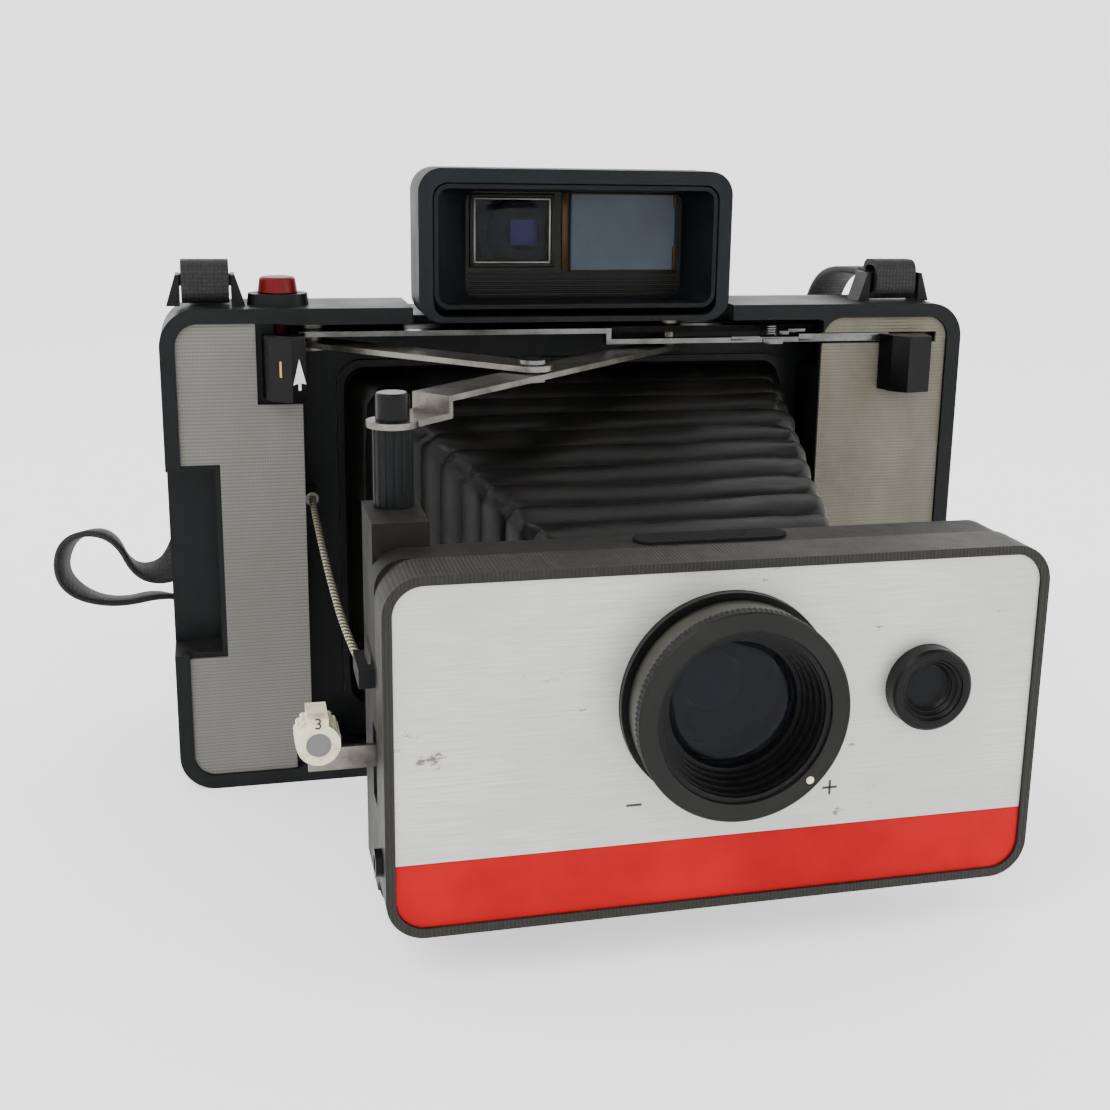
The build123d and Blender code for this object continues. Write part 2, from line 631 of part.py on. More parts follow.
with BuildPart() as shutter_blade_lower:
    rod_y(lens_x, lens_z, lower_blade_y, blade_r)
    block((lens_x - 2 * blade_r, lens_x + 2 * blade_r), lower_blade_y, (lens_z, lens_z + 2 * blade_r), Mode.SUBTRACT)
    rod_y(lens_x - blade_pin[0], lens_z - blade_pin[1], lower_blade_y, 1.5, Mode.SUBTRACT)
shutter_blade_lower.part.label = "shutter_blade_lower"
export_step(shutter_blade_lower.part, "parts/shutter_blade_lower.step")

# ---- light cell: a raised ring with a funnel and a small window at its foot
eye_front = rim_y - 3.0
eye_seat = rim_y - 0.2
eye_glass_r = 4.2
with BuildPart() as eye_ring:
    rod_y(eye_x, eye_z, (eye_front, plate_y[1]), eye_r)
    with Locations((eye_x, (eye_front + eye_seat) / 2, eye_z)):
        Cone(6.6, eye_glass_r, eye_seat - eye_front, rotation=(-90, 0, 0), mode=Mode.SUBTRACT)
    rod_y(eye_x, eye_z, (eye_seat, plate_y[1]), eye_glass_r, Mode.SUBTRACT)
    chamfer(eye_ring.edges().group_by(Axis.Y)[0].sort_by(SortBy.RADIUS)[-1], 0.5)
eye_ring.part.label = "eye_ring"
export_step(eye_ring.part, "parts/eye_ring.step")

with BuildPart() as eye_window:
    rod_y(eye_x, eye_z, (eye_seat, plate_y[1]), eye_glass_r)
eye_window.part.label = "eye_window"
export_step(eye_window.part, "parts/eye_window.step")

# ---- cocking lever with its knurled knob
knob_x = cover_x[0] - 10.3
knob_z = 44.5
knob_y = (-85.2, -76.7)
lever_y = (-82.8, -81.8)
lever_pivot = (cover_x[0] + 5.7, 40.6)
with BuildPart() as cocking_lever:
    block((knob_x - 1.9, lever_pivot[0]), lever_y, (lever_pivot[1] - 2.2, lever_pivot[1] + 2.2))
    rod_y(*lever_pivot, lever_y, 3.6)
    rod_y(*lever_pivot, (lever_y[0] - 1.6, lever_y[1] + 0.8), 1.2)
cocking_lever.part.label = "cocking_lever"
export_step(cocking_lever.part, "parts/cocking_lever.step")

with BuildPart() as cocking_knob:
    rod_y(knob_x, knob_z, (knob_y[0], lever_y[0]), 4.0)
    rod_y(knob_x, knob_z, (lever_y[0], knob_y[1]), 4.2)
    block((knob_x - 2.0, knob_x + 6.0), lever_y, (lever_pivot[1] - 2.3, lever_pivot[1] + 2.3), Mode.SUBTRACT)
    with BuildSketch(Plane((knob_x, knob_y[1], knob_z), x_dir=(1, 0, 0), z_dir=(0, -1, 0))):
        with PolarLocations(4.35, 18):
            Circle(0.45)
    extrude(amount=knob_y[1] - lever_y[1], mode=Mode.SUBTRACT)
    block((knob_x - 1.9, knob_x + 1.9), knob_y, (knob_z + 3.2, knob_z + 5.2))
    rod_y(knob_x, knob_z, (knob_y[0] - 1, knob_y[0] + 0.6), 2.3, Mode.SUBTRACT)
cocking_knob.part.label = "cocking_knob"
export_step(cocking_knob.part, "parts/cocking_knob.step")

with BuildPart() as knob_disc:
    rod_y(knob_x, knob_z, (knob_y[0] + 0.1, knob_y[0] + 0.6), 2.25)
knob_disc.part.label = "knob_disc"
export_step(knob_disc.part, "parts/knob_disc.step")

# ---- flash socket under the lever
with BuildPart() as flash_socket:
    rod_x(socket_y, socket_z, (cover_x[0] - 1.4, cover_x[0] + cover_wall), socket_r)
    rod_x(socket_y, socket_z, (cover_x[0] - 1.4, cover_x[0] - 0.2), 1.7, Mode.SUBTRACT)
flash_socket.part.label = "flash_socket"
export_step(flash_socket.part, "parts/flash_socket.step")

# ---- bellows between the body and the front standard
bellows_back_x = (-56.0, 55.0)
bellows_back_z = (13.0, mech_z[1] - 12.0)
bellows_front_x = (-26.0, 33.6)
bellows_front_z = (26.0, 79.0)
skin = 1.2
with BuildPart() as bellows_rear_frame:
    upright_plate(
        (bellows_back_x[0] - 1.5, bellows_back_x[1] + 1.5),
        (bellows_back_z[0] - 1.5, bellows_back_z[1] + 1.5),
        (mech_d - 1.4, mech_d),
        6.0,
    )
    upright_plate(gate_x, gate_z, (mech_d - 1.4, mech_d), 1.0, Mode.SUBTRACT)
bellows_rear_frame.part.label = "bellows_rear_frame"
export_step(bellows_rear_frame.part, "parts/bellows_rear_frame.step")

front_frame_y = (rear_y, rear_y + 1.4)
with BuildPart() as bellows_front_frame:
    upright_plate(
        (bellows_front_x[0] - 1.0, bellows_front_x[1] + 1.0),
        (bellows_front_z[0] - 1.0, bellows_front_z[1] + 0.6),
        front_frame_y,
        5.0,
    )
    rod_y(lens_x, lens_z, front_frame_y, light_bore, Mode.SUBTRACT)
bellows_front_frame.part.label = "bellows_front_frame"
export_step(bellows_front_frame.part, "parts/bellows_front_frame.step")


def bellows_ring(y, inset):
    """One rounded rectangle of the tapering bellows."""
    share = (mech_d - 1.4 - gap - y) / (mech_d - 1.4 - gap - bellows_y[0])
    x_low = bellows_back_x[0] + share * (bellows_front_x[0] - bellows_back_x[0]) + inset
    x_high = bellows_back_x[1] + share * (bellows_front_x[1] - bellows_back_x[1]) - inset
    z_low = bellows_back_z[0] + share * (bellows_front_z[0] - bellows_back_z[0]) + inset
    z_high = bellows_back_z[1] + share * (bellows_front_z[1] - bellows_back_z[1]) - inset
    with BuildSketch(Plane((0, y, 0), x_dir=(1, 0, 0), z_dir=(0, -1, 0))) as ring:
        with Locations(((x_low + x_high) / 2, (z_low + z_high) / 2)):
            RectangleRounded(x_high - x_low, z_high - z_low, 5.0 - inset)
    return ring.sketch


bellows_y = (front_frame_y[1] + gap, mech_d - 1.4 - gap)
with BuildPart() as bellows:
    loft([bellows_ring(y, 0) for y in bellows_y])
    loft([bellows_ring(y, skin) for y in bellows_y], mode=Mode.SUBTRACT)
bellows.part.label = "bellows"
export_step(bellows.part, "parts/bellows.step")

# ---- shutter release cable from the body to the front standard
cable_r = 0.8
cable_points = [
    (-64.6, 6.0, 69.0),
    (-64.4, -10.0, 66.0),
    (-63.6, -34.0, 60.6),
    (-62.6, -58.0, 57.2),
    (-61.6, -74.0, 57.0),
]
with BuildPart() as release_cable:
    with BuildLine() as cable_path:
        FilletPolyline(*cable_points, radius=arc_radii(cable_points))
    with BuildSketch(cable_path.line ^ 0):
        Circle(cable_r)
    sweep()
release_cable.part.label = "release_cable"
export_step(release_cable.part, "parts/release_cable.step")
print("cable length", round(cable_path.wires()[0].length, 1))

with BuildPart() as cable_gland:
    rod_y(cable_points[0][0], cable_points[0][2], (6.4, mech_d), 1.6)
cable_gland.part.label = "cable_gland"
export_step(cable_gland.part, "parts/cable_gland.step")

with BuildPart() as cable_anchor:
    block((-62.6, cover_x[0]), (-86.0, -83.0), (55.2, 58.8))
    block((-62.6, -60.6), (-83.0, -74.6), (55.2, 58.8))
cable_anchor.part.label = "cable_anchor"
export_step(cable_anchor.part, "parts/cable_anchor.step")

# ---- finder: housing, ribbed tunnel, inner panel, windows
hood_y = (0.0, hood_d)
tail_y = (hood_d, tail_d)
tunnel_front_x = (-36.2, 32.0)
tunnel_front_z = (hood_z[0] + 3.0, hood_z[1] - 3.3)
panel_t_finder = 1.2
panel_y = (hood_d + 0.7, hood_d + 0.7 + panel_t_finder)
lens_win_x = (-25.5, -4.7)
lens_win_z = (hood_z[0] + 11.4, hood_z[0] + 28.9)
range_win_x = (-1.1, 26.3)
range_win_z = (hood_z[0] + 10.2, hood_z[0] + 29.4)
eye_hole = (-11.0, hood_z[0] + 18.9)
eye_hole_r = 4.6
with BuildPart() as finder_housing:
    upright_plate(hood_x, hood_z, hood_y, hood_r)
    upright_plate(tail_x, (hood_z[0], tail_top), tail_y, 4.0)
    upright_plate(
        (tunnel_front_x[0] - gap, tunnel_front_x[1] + gap),
        (hood_z[0] + 1.2, tunnel_front_z[1] + gap),
        (0, hood_d - 1.2),
        hood_r - 2.0,
        Mode.SUBTRACT,
    )
    upright_plate(
        (tail_x[0] + hood_wall, tail_x[1] - hood_wall),
        (hood_z[0] + 1.2, tail_top - 1.2),
        (hood_d - 1.2, tail_d - hood_wall),
        2.5,
        Mode.SUBTRACT,
    )
    block(
        (eye_hole[0] - 7.0, eye_hole[0] + 7.0),
        (tail_d - hood_wall, tail_d),
        (eye_hole[1] - 7.0, eye_hole[1] + 7.0),
        Mode.SUBTRACT,
    )
finder_housing.part.label = "finder_housing"
export_step(finder_housing.part, "parts/finder_housing.step")


def tunnel_ring(y, x, z, grow):
    """One rounded rectangle of the finder's tunnel."""
    with BuildSketch(Plane((0, y, 0), x_dir=(1, 0, 0), z_dir=(0, -1, 0))) as ring:
        with Locations(((x[0] + x[1]) / 2, (z[0] + z[1]) / 2)):
            RectangleRounded(x[1] - x[0] + 2 * grow, z[1] - z[0] + 2 * grow, 2.5 + grow)
    return ring.sketch


tunnel_skin = 1.0
tunnel_front = (0.3, (-35.0, 30.8), (hood_z[0] + 4.1, hood_z[1] - 4.5))
tunnel_back = (panel_y[0] - 0.2, (-26.4, 27.4), (hood_z[0] + 4.1, hood_z[1] - 5.7))
with BuildPart() as finder_tunnel:
    loft([tunnel_ring(*tunnel_front, tunnel_skin), tunnel_ring(*tunnel_back, tunnel_skin)])
    loft([tunnel_ring(*tunnel_front, 0), tunnel_ring(*tunnel_back, 0)], mode=Mode.SUBTRACT)
finder_tunnel.part.label = "finder_tunnel"
export_step(finder_tunnel.part, "parts/finder_tunnel.step")

with BuildPart() as finder_panel:
    upright_plate((-30.0, 27.9), (hood_z[0] + 1.9, tail_top - 1.5), panel_y, 2.4)
    block(lens_win_x, panel_y, lens_win_z, Mode.SUBTRACT)
    block(range_win_x, panel_y, range_win_z, Mode.SUBTRACT)
finder_panel.part.label = "finder_panel"
export_step(finder_panel.part, "parts/finder_panel.step")

with BuildPart() as finder_objective:
    block(
        (lens_win_x[0] + gap, lens_win_x[1] - gap),
        (panel_y[0] - 0.4, panel_y[1] + 1.4),
        (lens_win_z[0] + gap, lens_win_z[1] - gap),
    )
    fillet(finder_objective.edges().filter_by(Axis.Y), 1.0)
    with Locations(((lens_win_x[0] + lens_win_x[1]) / 2, hood_d - 24.5, (lens_win_z[0] + lens_win_z[1]) / 2)):
        Sphere(26.2, mode=Mode.SUBTRACT)
finder_objective.part.label = "finder_objective"
export_step(finder_objective.part, "parts/finder_objective.step")

with BuildPart() as finder_window:
    block(
        (range_win_x[0] + gap, range_win_x[1] - gap),
        (panel_y[0] + 0.1, panel_y[1]),
        (range_win_z[0] + gap, range_win_z[1] - gap),
    )
finder_window.part.label = "finder_window"
export_step(finder_window.part, "parts/finder_window.step")

with BuildPart() as eyepiece_frame:
    upright_plate(
        (eye_hole[0] - 7.0 + gap, eye_hole[0] + 7.0 - gap),
        (eye_hole[1] - 7.0 + gap, eye_hole[1] + 7.0 - gap),
        (tail_d - hood_wall, tail_d + 1.2),
        1.0,
    )
    rod_y(*eye_hole, (tail_d - hood_wall, tail_d + 1.2), eye_hole_r, Mode.SUBTRACT)
eyepiece_frame.part.label = "eyepiece_frame"
export_step(eyepiece_frame.part, "parts/eyepiece_frame.step")

with BuildPart() as eyepiece_lens:
    rod_y(*eye_hole, (tail_d - 1.4, tail_d + 0.4), eye_hole_r)
eyepiece_lens.part.label = "eyepiece_lens"
export_step(eyepiece_lens.part, "parts/eyepiece_lens.step")

mirror_pivot = (12.0, 27.0)
with BuildPart() as range_mirror:
    with BuildSketch(strut_plane(mirror_pivot, 45, hood_z[0] + 10.9)):
        Rectangle(16.0, 1.2)
        Circle(2.4)
    extrude(amount=16.0)
    rod_z(*mirror_pivot, (hood_z[0] + 1.5, tail_top - 2.5), 1.2)
range_mirror.part.label = "range_mirror"
export_step(range_mirror.part, "parts/range_mirror.step")

# ---- focus: one bar with a button at each end
bar_y = (0.2, 3.2)
bar_high = (mech_z[1] - 2.8, mech_z[1] - 2.8 + bar_t)
bar_low = (bar_slot_z[0] + 0.8, bar_slot_z[0] + 0.8 + bar_t)
bar_step = 5.0
with BuildPart() as focus_bar:
    block((mech_x[0] - 0.7, bar_step + bar_t), bar_y, bar_high)
    block((bar_step, bar_step + bar_t), bar_y, (bar_low[0], bar_high[1]))
    block((bar_step, mech_x[1] + 17.7), bar_y, bar_low)
focus_bar.part.label = "focus_bar"
export_step(focus_bar.part, "parts/focus_bar.step")

# wedge buttons, each with an upright ridge
with BuildPart() as focus_buttons:
    for x, z, ridge_x in button_rows:
        with BuildSketch(Plane.XY.offset(z[0])) as wedge:
            with BuildLine():
                Polyline(
                    (x[0], 0.1),
                    (x[0] + 1.4, -4.6),
                    (ridge_x, button_front),
                    (x[1] - 0.6, button_front + 1.2),
                    (x[1], 0.1),
                    close=True,
                )
            make_face()
        extrude(wedge.sketch, amount=z[1] - z[0])
    fillet(focus_buttons.faces().group_by(Axis.Z)[-1].edges(), 0.5)
focus_buttons.part.label = "focus_buttons"
export_step(focus_buttons.part, "parts/focus_buttons.step")

# ---- film chamber: rollers in their frame, battery, door with springs and latch
roller_z = (lens_z - roller_len / 2 + 3.5, lens_z + roller_len / 2 + 3.5)
roller_front_y = roller_y - roller_r - roller_nip - 0.6
roller_rear_y = roller_front_y + 2 * roller_r + roller_nip
with BuildPart() as roller_frame:
    for end_z in ((roller_z[0] - 1.6, roller_z[0] - 0.2), (roller_z[1] + 0.2, roller_z[1] + 1.6)):
        block((roller_x - 4.4, roller_x + 4.4), (roller_front_y - 4.6, roller_rear_y + 4.6), end_z)
        rod_z(roller_x, roller_front_y, end_z, 1.3, Mode.SUBTRACT)
        rod_z(roller_x, roller_rear_y, end_z, 1.3, Mode.SUBTRACT)
    block((roller_x - 4.4, roller_x + 4.4), (roller_front_y - 5.6, roller_front_y - 4.6),
          (roller_z[0] - 1.6, roller_z[1] + 1.6))
roller_frame.part.label = "roller_frame"
export_step(roller_frame.part, "parts/roller_frame.step")


def roller(y):
    """The solid of one steel spread roller with its journals."""
    with BuildPart() as piece:
        rod_z(roller_x, y, roller_z, roller_r)
        rod_z(roller_x, y, (roller_z[0] - 1.5, roller_z[1] + 1.5), 1.2)
    return piece


spread_roller_front = roller(roller_front_y)
spread_roller_front.part.label = "spread_roller_front"
export_step(spread_roller_front.part, "parts/spread_roller_front.step")

spread_roller_rear = roller(roller_rear_y)
spread_roller_rear.part.label = "spread_roller_rear"
export_step(spread_roller_rear.part, "parts/spread_roller_rear.step")

battery_r = 8.4
battery_at = (chamber_x[1] + wall + 1.05 + battery_r, 19.0)
with BuildPart() as battery:
    rod_z(*battery_at, (battery_top - 52.0, battery_top - 4.0), battery_r)
    rod_z(*battery_at, (battery_top - 4.0, battery_top - 2.0), 3.0)
battery.part.label = "battery"
export_step(battery.part, "parts/battery.step")

door_y = (back_y + door_gap, back_y + door_gap + door_d)
door_x = (frame_x[0], frame_x[1])
hinge_xy = (frame_x[1] + 1.2, back_y + 1.6)
knuckle_z = (20.0, mech_z[1] - 31.0)
knuckle_len = 12.0
knuckle_r = 1.8
hinge_pin_r = 0.8
with BuildPart() as film_door:
    upright_plate(door_x, door_z, door_y, 5.0)
    upright_plate(
        (door_x[0] + door_wall, door_x[1] - door_wall - 3.2),
        (door_z[0] + door_wall, door_z[1] - door_wall),
        (door_y[0], door_y[1] - door_wall),
        3.0,
        Mode.SUBTRACT,
    )
    block((body_x[0], grip_x - 4.2), (door_y[0] - 1, door_y[0] + 5.5), grip_z, Mode.SUBTRACT)
    for low in knuckle_z:
        rod_z(*hinge_xy, (low - 0.2, low + knuckle_len + 0.2), knuckle_r + 0.4, Mode.SUBTRACT)
    between = (knuckle_z[0] + knuckle_len + 0.4, knuckle_z[1] - 0.2)
    rod_z(*hinge_xy, between, knuckle_r)
    rod_z(*hinge_xy, between, hinge_pin_r + fit, Mode.SUBTRACT)
film_door.part.label = "film_door"
export_step(film_door.part, "parts/film_door.step")

with BuildPart() as door_hinge:
    for low in knuckle_z:
        rod_z(*hinge_xy, (low, low + knuckle_len), knuckle_r)
        block((frame_x[1] - 0.5, frame_x[1] + 2.4), (back_y - 4.0, back_y + 1.2), (low, low + knuckle_len))
    rod_z(*hinge_xy, (knuckle_z[0], knuckle_z[1] + knuckle_len), hinge_pin_r)
    block((frame_x[1] - 1, frame_x[1]), (back_y - 5, back_y + 3), frame_z, Mode.SUBTRACT)
door_hinge.part.label = "door_hinge"
export_step(door_hinge.part, "parts/door_hinge.step")

with BuildPart() as pressure_spring:
    block(
        (lens_x - 45.0, lens_x + 45.0),
        (door_y[1] - door_wall - 0.8, door_y[1] - door_wall),
        (lens_z - 5.0, lens_z + 5.0),
    )
    for side in (-1, 1):
        for up in (-1, 1):
            block(
                (lens_x + side * 36 - 8.0, lens_x + side * 36 + 8.0),
                (door_y[1] - door_wall - 2.0, door_y[1] - door_wall - 0.8),
                (lens_z + up * 3 - 1.4, lens_z + up * 3 + 1.4),
            )
pressure_spring.part.label = "pressure_spring"
export_step(pressure_spring.part, "parts/pressure_spring.step")

latch_z = (mech_z[1] - 25.0, mech_z[1] - 11.0)
with BuildPart() as door_latch:
    block((frame_x[0] - 1.8, frame_x[0] - 0.2), (back_y - 6.0, door_y[0] + 6.0), latch_z)
    for step in range(4):
        rib_z = latch_z[0] + 2.2 + 2.8 * step
        block((frame_x[0] - 2.4, frame_x[0] - 1.8), (back_y - 4.0, back_y + 4.0), (rib_z, rib_z + 1.2))
door_latch.part.label = "door_latch"
export_step(door_latch.part, "parts/door_latch.step")
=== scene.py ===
from math import cos, pi, radians, sin

import bpy
from mathutils import Matrix, Vector, noise


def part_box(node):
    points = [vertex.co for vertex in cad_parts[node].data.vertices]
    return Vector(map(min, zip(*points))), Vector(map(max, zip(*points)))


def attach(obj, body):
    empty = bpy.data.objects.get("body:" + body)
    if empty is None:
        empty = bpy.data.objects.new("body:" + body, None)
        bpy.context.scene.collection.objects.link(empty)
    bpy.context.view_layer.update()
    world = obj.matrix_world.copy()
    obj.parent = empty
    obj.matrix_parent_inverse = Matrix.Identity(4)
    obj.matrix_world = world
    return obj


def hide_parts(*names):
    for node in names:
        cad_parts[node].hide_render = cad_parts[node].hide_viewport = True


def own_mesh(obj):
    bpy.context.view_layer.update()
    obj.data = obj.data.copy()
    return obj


bl_info = {
    "name": "Folding pack-film camera",
    "version": (1, 0, 0),
    "blender": (4, 5, 0),
    "location": "3D View > Sidebar > Camera",
    "description": "Builds the finishes and the soft and fine pieces of a folding pack-film camera",
    "category": "Add Mesh",
}

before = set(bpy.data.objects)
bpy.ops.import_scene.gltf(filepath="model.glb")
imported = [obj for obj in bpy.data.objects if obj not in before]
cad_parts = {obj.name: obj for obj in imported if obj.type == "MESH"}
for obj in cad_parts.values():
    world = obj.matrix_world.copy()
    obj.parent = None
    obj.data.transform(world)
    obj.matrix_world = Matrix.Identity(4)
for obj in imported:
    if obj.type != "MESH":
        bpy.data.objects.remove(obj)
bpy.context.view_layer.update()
MM = 0.001
DUST = "8d8980"
WAVE_SCALE = 1000 * pi / 10  # of a wave texture with bands 1 mm apart, on coordinates in metres


def mm(*values):
    """Millimetres to metres, as a vector."""
    return Vector(values) * MM


def linear(code):
    """An sRGB hex colour as linear RGBA."""
    parts = [int(code[i : i + 2], 16) / 255 for i in (0, 2, 4)]
    return tuple(c / 12.92 if c <= 0.04045 else ((c + 0.055) / 1.055) ** 2.4 for c in parts) + (1.0,)


# ---------------------------------------------------------------- finishes


def new_finish(name):
    """A material with only its output and its shader."""
    finish = bpy.data.materials.new(name)
    finish.use_nodes = True
    tree = finish.node_tree
    shader = tree.nodes["Principled BSDF"]
    return finish, tree, shader


def add(tree, kind, inputs=(), **settings):
    """One node with its settings, its inputs given as values or as sockets to link from."""
    made = tree.nodes.new(kind)
    for key, value in settings.items():
        setattr(made, key, value)
    for key, value in dict(inputs).items():
        if isinstance(value, bpy.types.NodeSocket):
            tree.links.new(value, made.inputs[key])
        else:
            made.inputs[key].default_value = value
    return made


def where(tree):
    """The point in the object, in metres."""
    return add(tree, "ShaderNodeTexCoord").outputs["Object"]


def grain(tree, at, size_mm, detail=3.0, roughness=0.6):
    """Noise whose blobs are about size_mm across."""
    return add(
        tree,
        "ShaderNodeTexNoise",
        {"Vector": at, "Scale": 1000.0 / size_mm, "Detail": detail, "Roughness": roughness},
    ).outputs["Fac"]


def ramp(tree, fac, low, high, colour_low, colour_high, most=1.0):
    """Blends two colours as fac goes from low to high, the second one up to its most."""
    share = spread(tree, fac, low, high, 0.0, most)
    return add(tree, "ShaderNodeMix", {0: share, 6: colour_low, 7: colour_high}, data_type="RGBA").outputs[2]


def spread(tree, fac, low, high, to_low, to_high):
    """Maps fac from one range to another, clamped."""
    return add(
        tree,
        "ShaderNodeMapRange",
        {"Value": fac, "From Min": low, "From Max": high, "To Min": to_low, "To Max": to_high},
        clamp=True,
    ).outputs["Result"]


def stretch(tree, at, scale):
    """The point with each axis scaled, to draw grain out along one way."""
    return add(tree, "ShaderNodeMapping", {"Vector": at, "Scale": scale}).outputs["Vector"]


def relief(tree, shader, height, depth_mm, strength=1.0):
    """Sets the shader's normal from a height of 0 to 1 over depth_mm."""
    bump = add(tree, "ShaderNodeBump", {"Height": height, "Distance": depth_mm * MM, "Strength": strength})
    tree.links.new(bump.outputs["Normal"], shader.inputs["Normal"])


def dust_above(tree, colour, dust, amount):
    """Lets pale dust settle on faces that look up."""
    normal = add(tree, "ShaderNodeNewGeometry").outputs["Normal"]
    up = add(tree, "ShaderNodeSeparateXYZ", {"Vector": normal}).outputs["Z"]
    specks = grain(tree, where(tree), 2.5, 6.0, 0.75)
    settled = add(tree, "ShaderNodeMath", {0: up, 1: specks}, operation="MULTIPLY").outputs[0]
    return ramp(tree, settled, 0.34, 0.8, colour, dust, amount)


def bands(tree, at, pitch_mm, direction):
    """Even sine bands of one pitch across X, Y or Z, from 0 to 1."""
    return add(
        tree, "ShaderNodeTexWave", {"Vector": at, "Scale": WAVE_SCALE / pitch_mm}, bands_direction=direction
    ).outputs["Fac"]


def moulded_plastic(name, dark, light, rough=(0.38, 0.55), grain_mm=0.35, depth=0.02, dust=0.07, gloss=0.12):
    """Fine moulded grain, handled patches a little glossier, dust on what looks up."""
    finish, tree, shader = new_finish(name)
    at = where(tree)
    patches = grain(tree, at, 14.0, 4.0)
    fine = grain(tree, at, grain_mm, 2.0)
    colour = ramp(tree, patches, 0.35, 0.7, linear(dark), linear(light))
    colour = dust_above(tree, colour, linear(DUST), dust)
    tree.links.new(colour, shader.inputs["Base Color"])
    tree.links.new(spread(tree, patches, 0.3, 0.7, rough[0], rough[1]), shader.inputs["Roughness"])
    shader.inputs["Specular IOR Level"].default_value = gloss
    relief(tree, shader, fine, depth)
    return finish


def lined_plastic(name, dark, light, pitch_mm, direction):
    """Moulded plastic with fine parallel lines that catch the light on one side, their grooves painted darker as
    shade.
    """
    finish, tree, shader = new_finish(name)
    at = where(tree)
    lines = bands(tree, at, pitch_mm, direction)
    patches = grain(tree, at, 16.0, 4.0)
    ground = ramp(tree, patches, 0.35, 0.7, linear(dark), linear(light))
    dusted = dust_above(tree, ground, linear(DUST), 0.14)
    # painted shade: the grooves of the lines are coloured darker, as shade in them
    groove_shade = ramp(tree, lines, 0.0, 0.4, linear("141413"), dusted)
    tree.links.new(groove_shade, shader.inputs["Base Color"])
    tree.links.new(spread(tree, patches, 0.3, 0.7, 0.42, 0.58), shader.inputs["Roughness"])
    shader.inputs["Specular IOR Level"].default_value = 0.2
    relief(tree, shader, lines, 0.08, 0.6)
    return finish


def ribbed_trim(name):
    """Beige grille trim: level ribs crossed by finer upright lines, their dips painted darker as shade, with brown
    handling stains in clouds, warmer on the right side.
    """
    finish, tree, shader = new_finish(name)
    at = where(tree)
    ribs = bands(tree, at, 0.82, "Z")
    uprights = bands(tree, at, 0.56, "X")
    weave = add(tree, "ShaderNodeMath", {0: uprights, 1: 0.3}, operation="MULTIPLY").outputs[0]
    height = add(tree, "ShaderNodeMath", {0: ribs, 1: weave}, operation="SUBTRACT").outputs[0]
    side = add(tree, "ShaderNodeSeparateXYZ", {"Vector": at}).outputs["X"]
    stains = grain(tree, stretch(tree, at, (1.6, 1.0, 0.7)), 24.0, 5.0, 0.6)
    grey = ramp(tree, stains, 0.4, 0.75, linear("64635d"), linear("5b5a52"))
    warm = ramp(tree, stains, 0.38, 0.62, linear("635f50"), linear("524a36"))
    ground = ramp(tree, side, 0.0, 0.06, grey, warm)
    # painted shade: the dips between the ribs take a darker grey, as shade in them
    colour = ramp(tree, height, -0.25, 0.6, linear("4e4d47"), ground)
    tree.links.new(colour, shader.inputs["Base Color"])
    shader.inputs["Roughness"].default_value = 0.6
    relief(tree, shader, height, 0.1, 0.7)
    return finish


def brushed_plate(name):
    """Bare aluminium face: level brush strokes, a few dull clouds, dark nicks and scuffs."""
    finish, tree, shader = new_finish(name)
    at = where(tree)
    strokes = grain(tree, stretch(tree, at, (0.03, 1.0, 1.0)), 0.42, 3.0, 0.75)
    clouds = grain(tree, at, 26.0, 4.0, 0.6)
    nicks = grain(tree, stretch(tree, at, (0.45, 1.0, 1.0)), 3.4, 8.0, 0.72)
    where_worn = grain(tree, at, 19.0, 2.0)
    marks = add(tree, "ShaderNodeMath", {0: nicks, 1: where_worn}, operation="MULTIPLY").outputs[0]
    ground = ramp(tree, clouds, 0.35, 0.72, linear("c9cbc9"), linear("b4b5b0"))
    brushed = ramp(tree, strokes, 0.3, 0.75, linear("a9aaa6"), ground)
    colour = ramp(tree, marks, 0.375, 0.395, brushed, linear("6b6459"))
    tree.links.new(colour, shader.inputs["Base Color"])
    shader.inputs["Metallic"].default_value = 0.55
    tree.links.new(spread(tree, strokes, 0.3, 0.7, 0.36, 0.55), shader.inputs["Roughness"])
    relief(tree, shader, strokes, 0.012, 0.6)
    return finish


def red_enamel(name):
    """Stoved red paint with hairline scratches along it and rubbed dull patches."""
    finish, tree, shader = new_finish(name)
    at = where(tree)
    clouds = grain(tree, at, 18.0, 4.0, 0.6)
    scratches = grain(tree, stretch(tree, at, (0.06, 1.0, 1.0)), 0.6, 4.0, 0.8)
    ground = ramp(tree, clouds, 0.35, 0.7, linear("a4000a"), linear("920009"))
    colour = ramp(tree, scratches, 0.7, 0.8, ground, linear("a81a1e"))
    tree.links.new(colour, shader.inputs["Base Color"])
    tree.links.new(spread(tree, clouds, 0.3, 0.7, 0.34, 0.46), shader.inputs["Roughness"])
    shader.inputs["Specular IOR Level"].default_value = 0.1
    relief(tree, shader, scratches, 0.006, 0.5)
    return finish


def plated_steel(name, bright, dull, rough=(0.24, 0.42), along=(0.05, 1.0, 1.0)):
    """Nickel-plated strip: drawn lines along it, duller brown tarnish in clouds."""
    finish, tree, shader = new_finish(name)
    at = where(tree)
    lines = grain(tree, stretch(tree, at, along), 0.3, 3.0, 0.7)
    tarnish = grain(tree, at, 9.0, 5.0, 0.65)
    colour = ramp(tree, tarnish, 0.42, 0.75, linear(bright), linear(dull))
    tree.links.new(colour, shader.inputs["Base Color"])
    shader.inputs["Metallic"].default_value = 1.0
    tree.links.new(spread(tree, lines, 0.3, 0.7, rough[0], rough[1]), shader.inputs["Roughness"])
    relief(tree, shader, lines, 0.008, 0.5)
    return finish


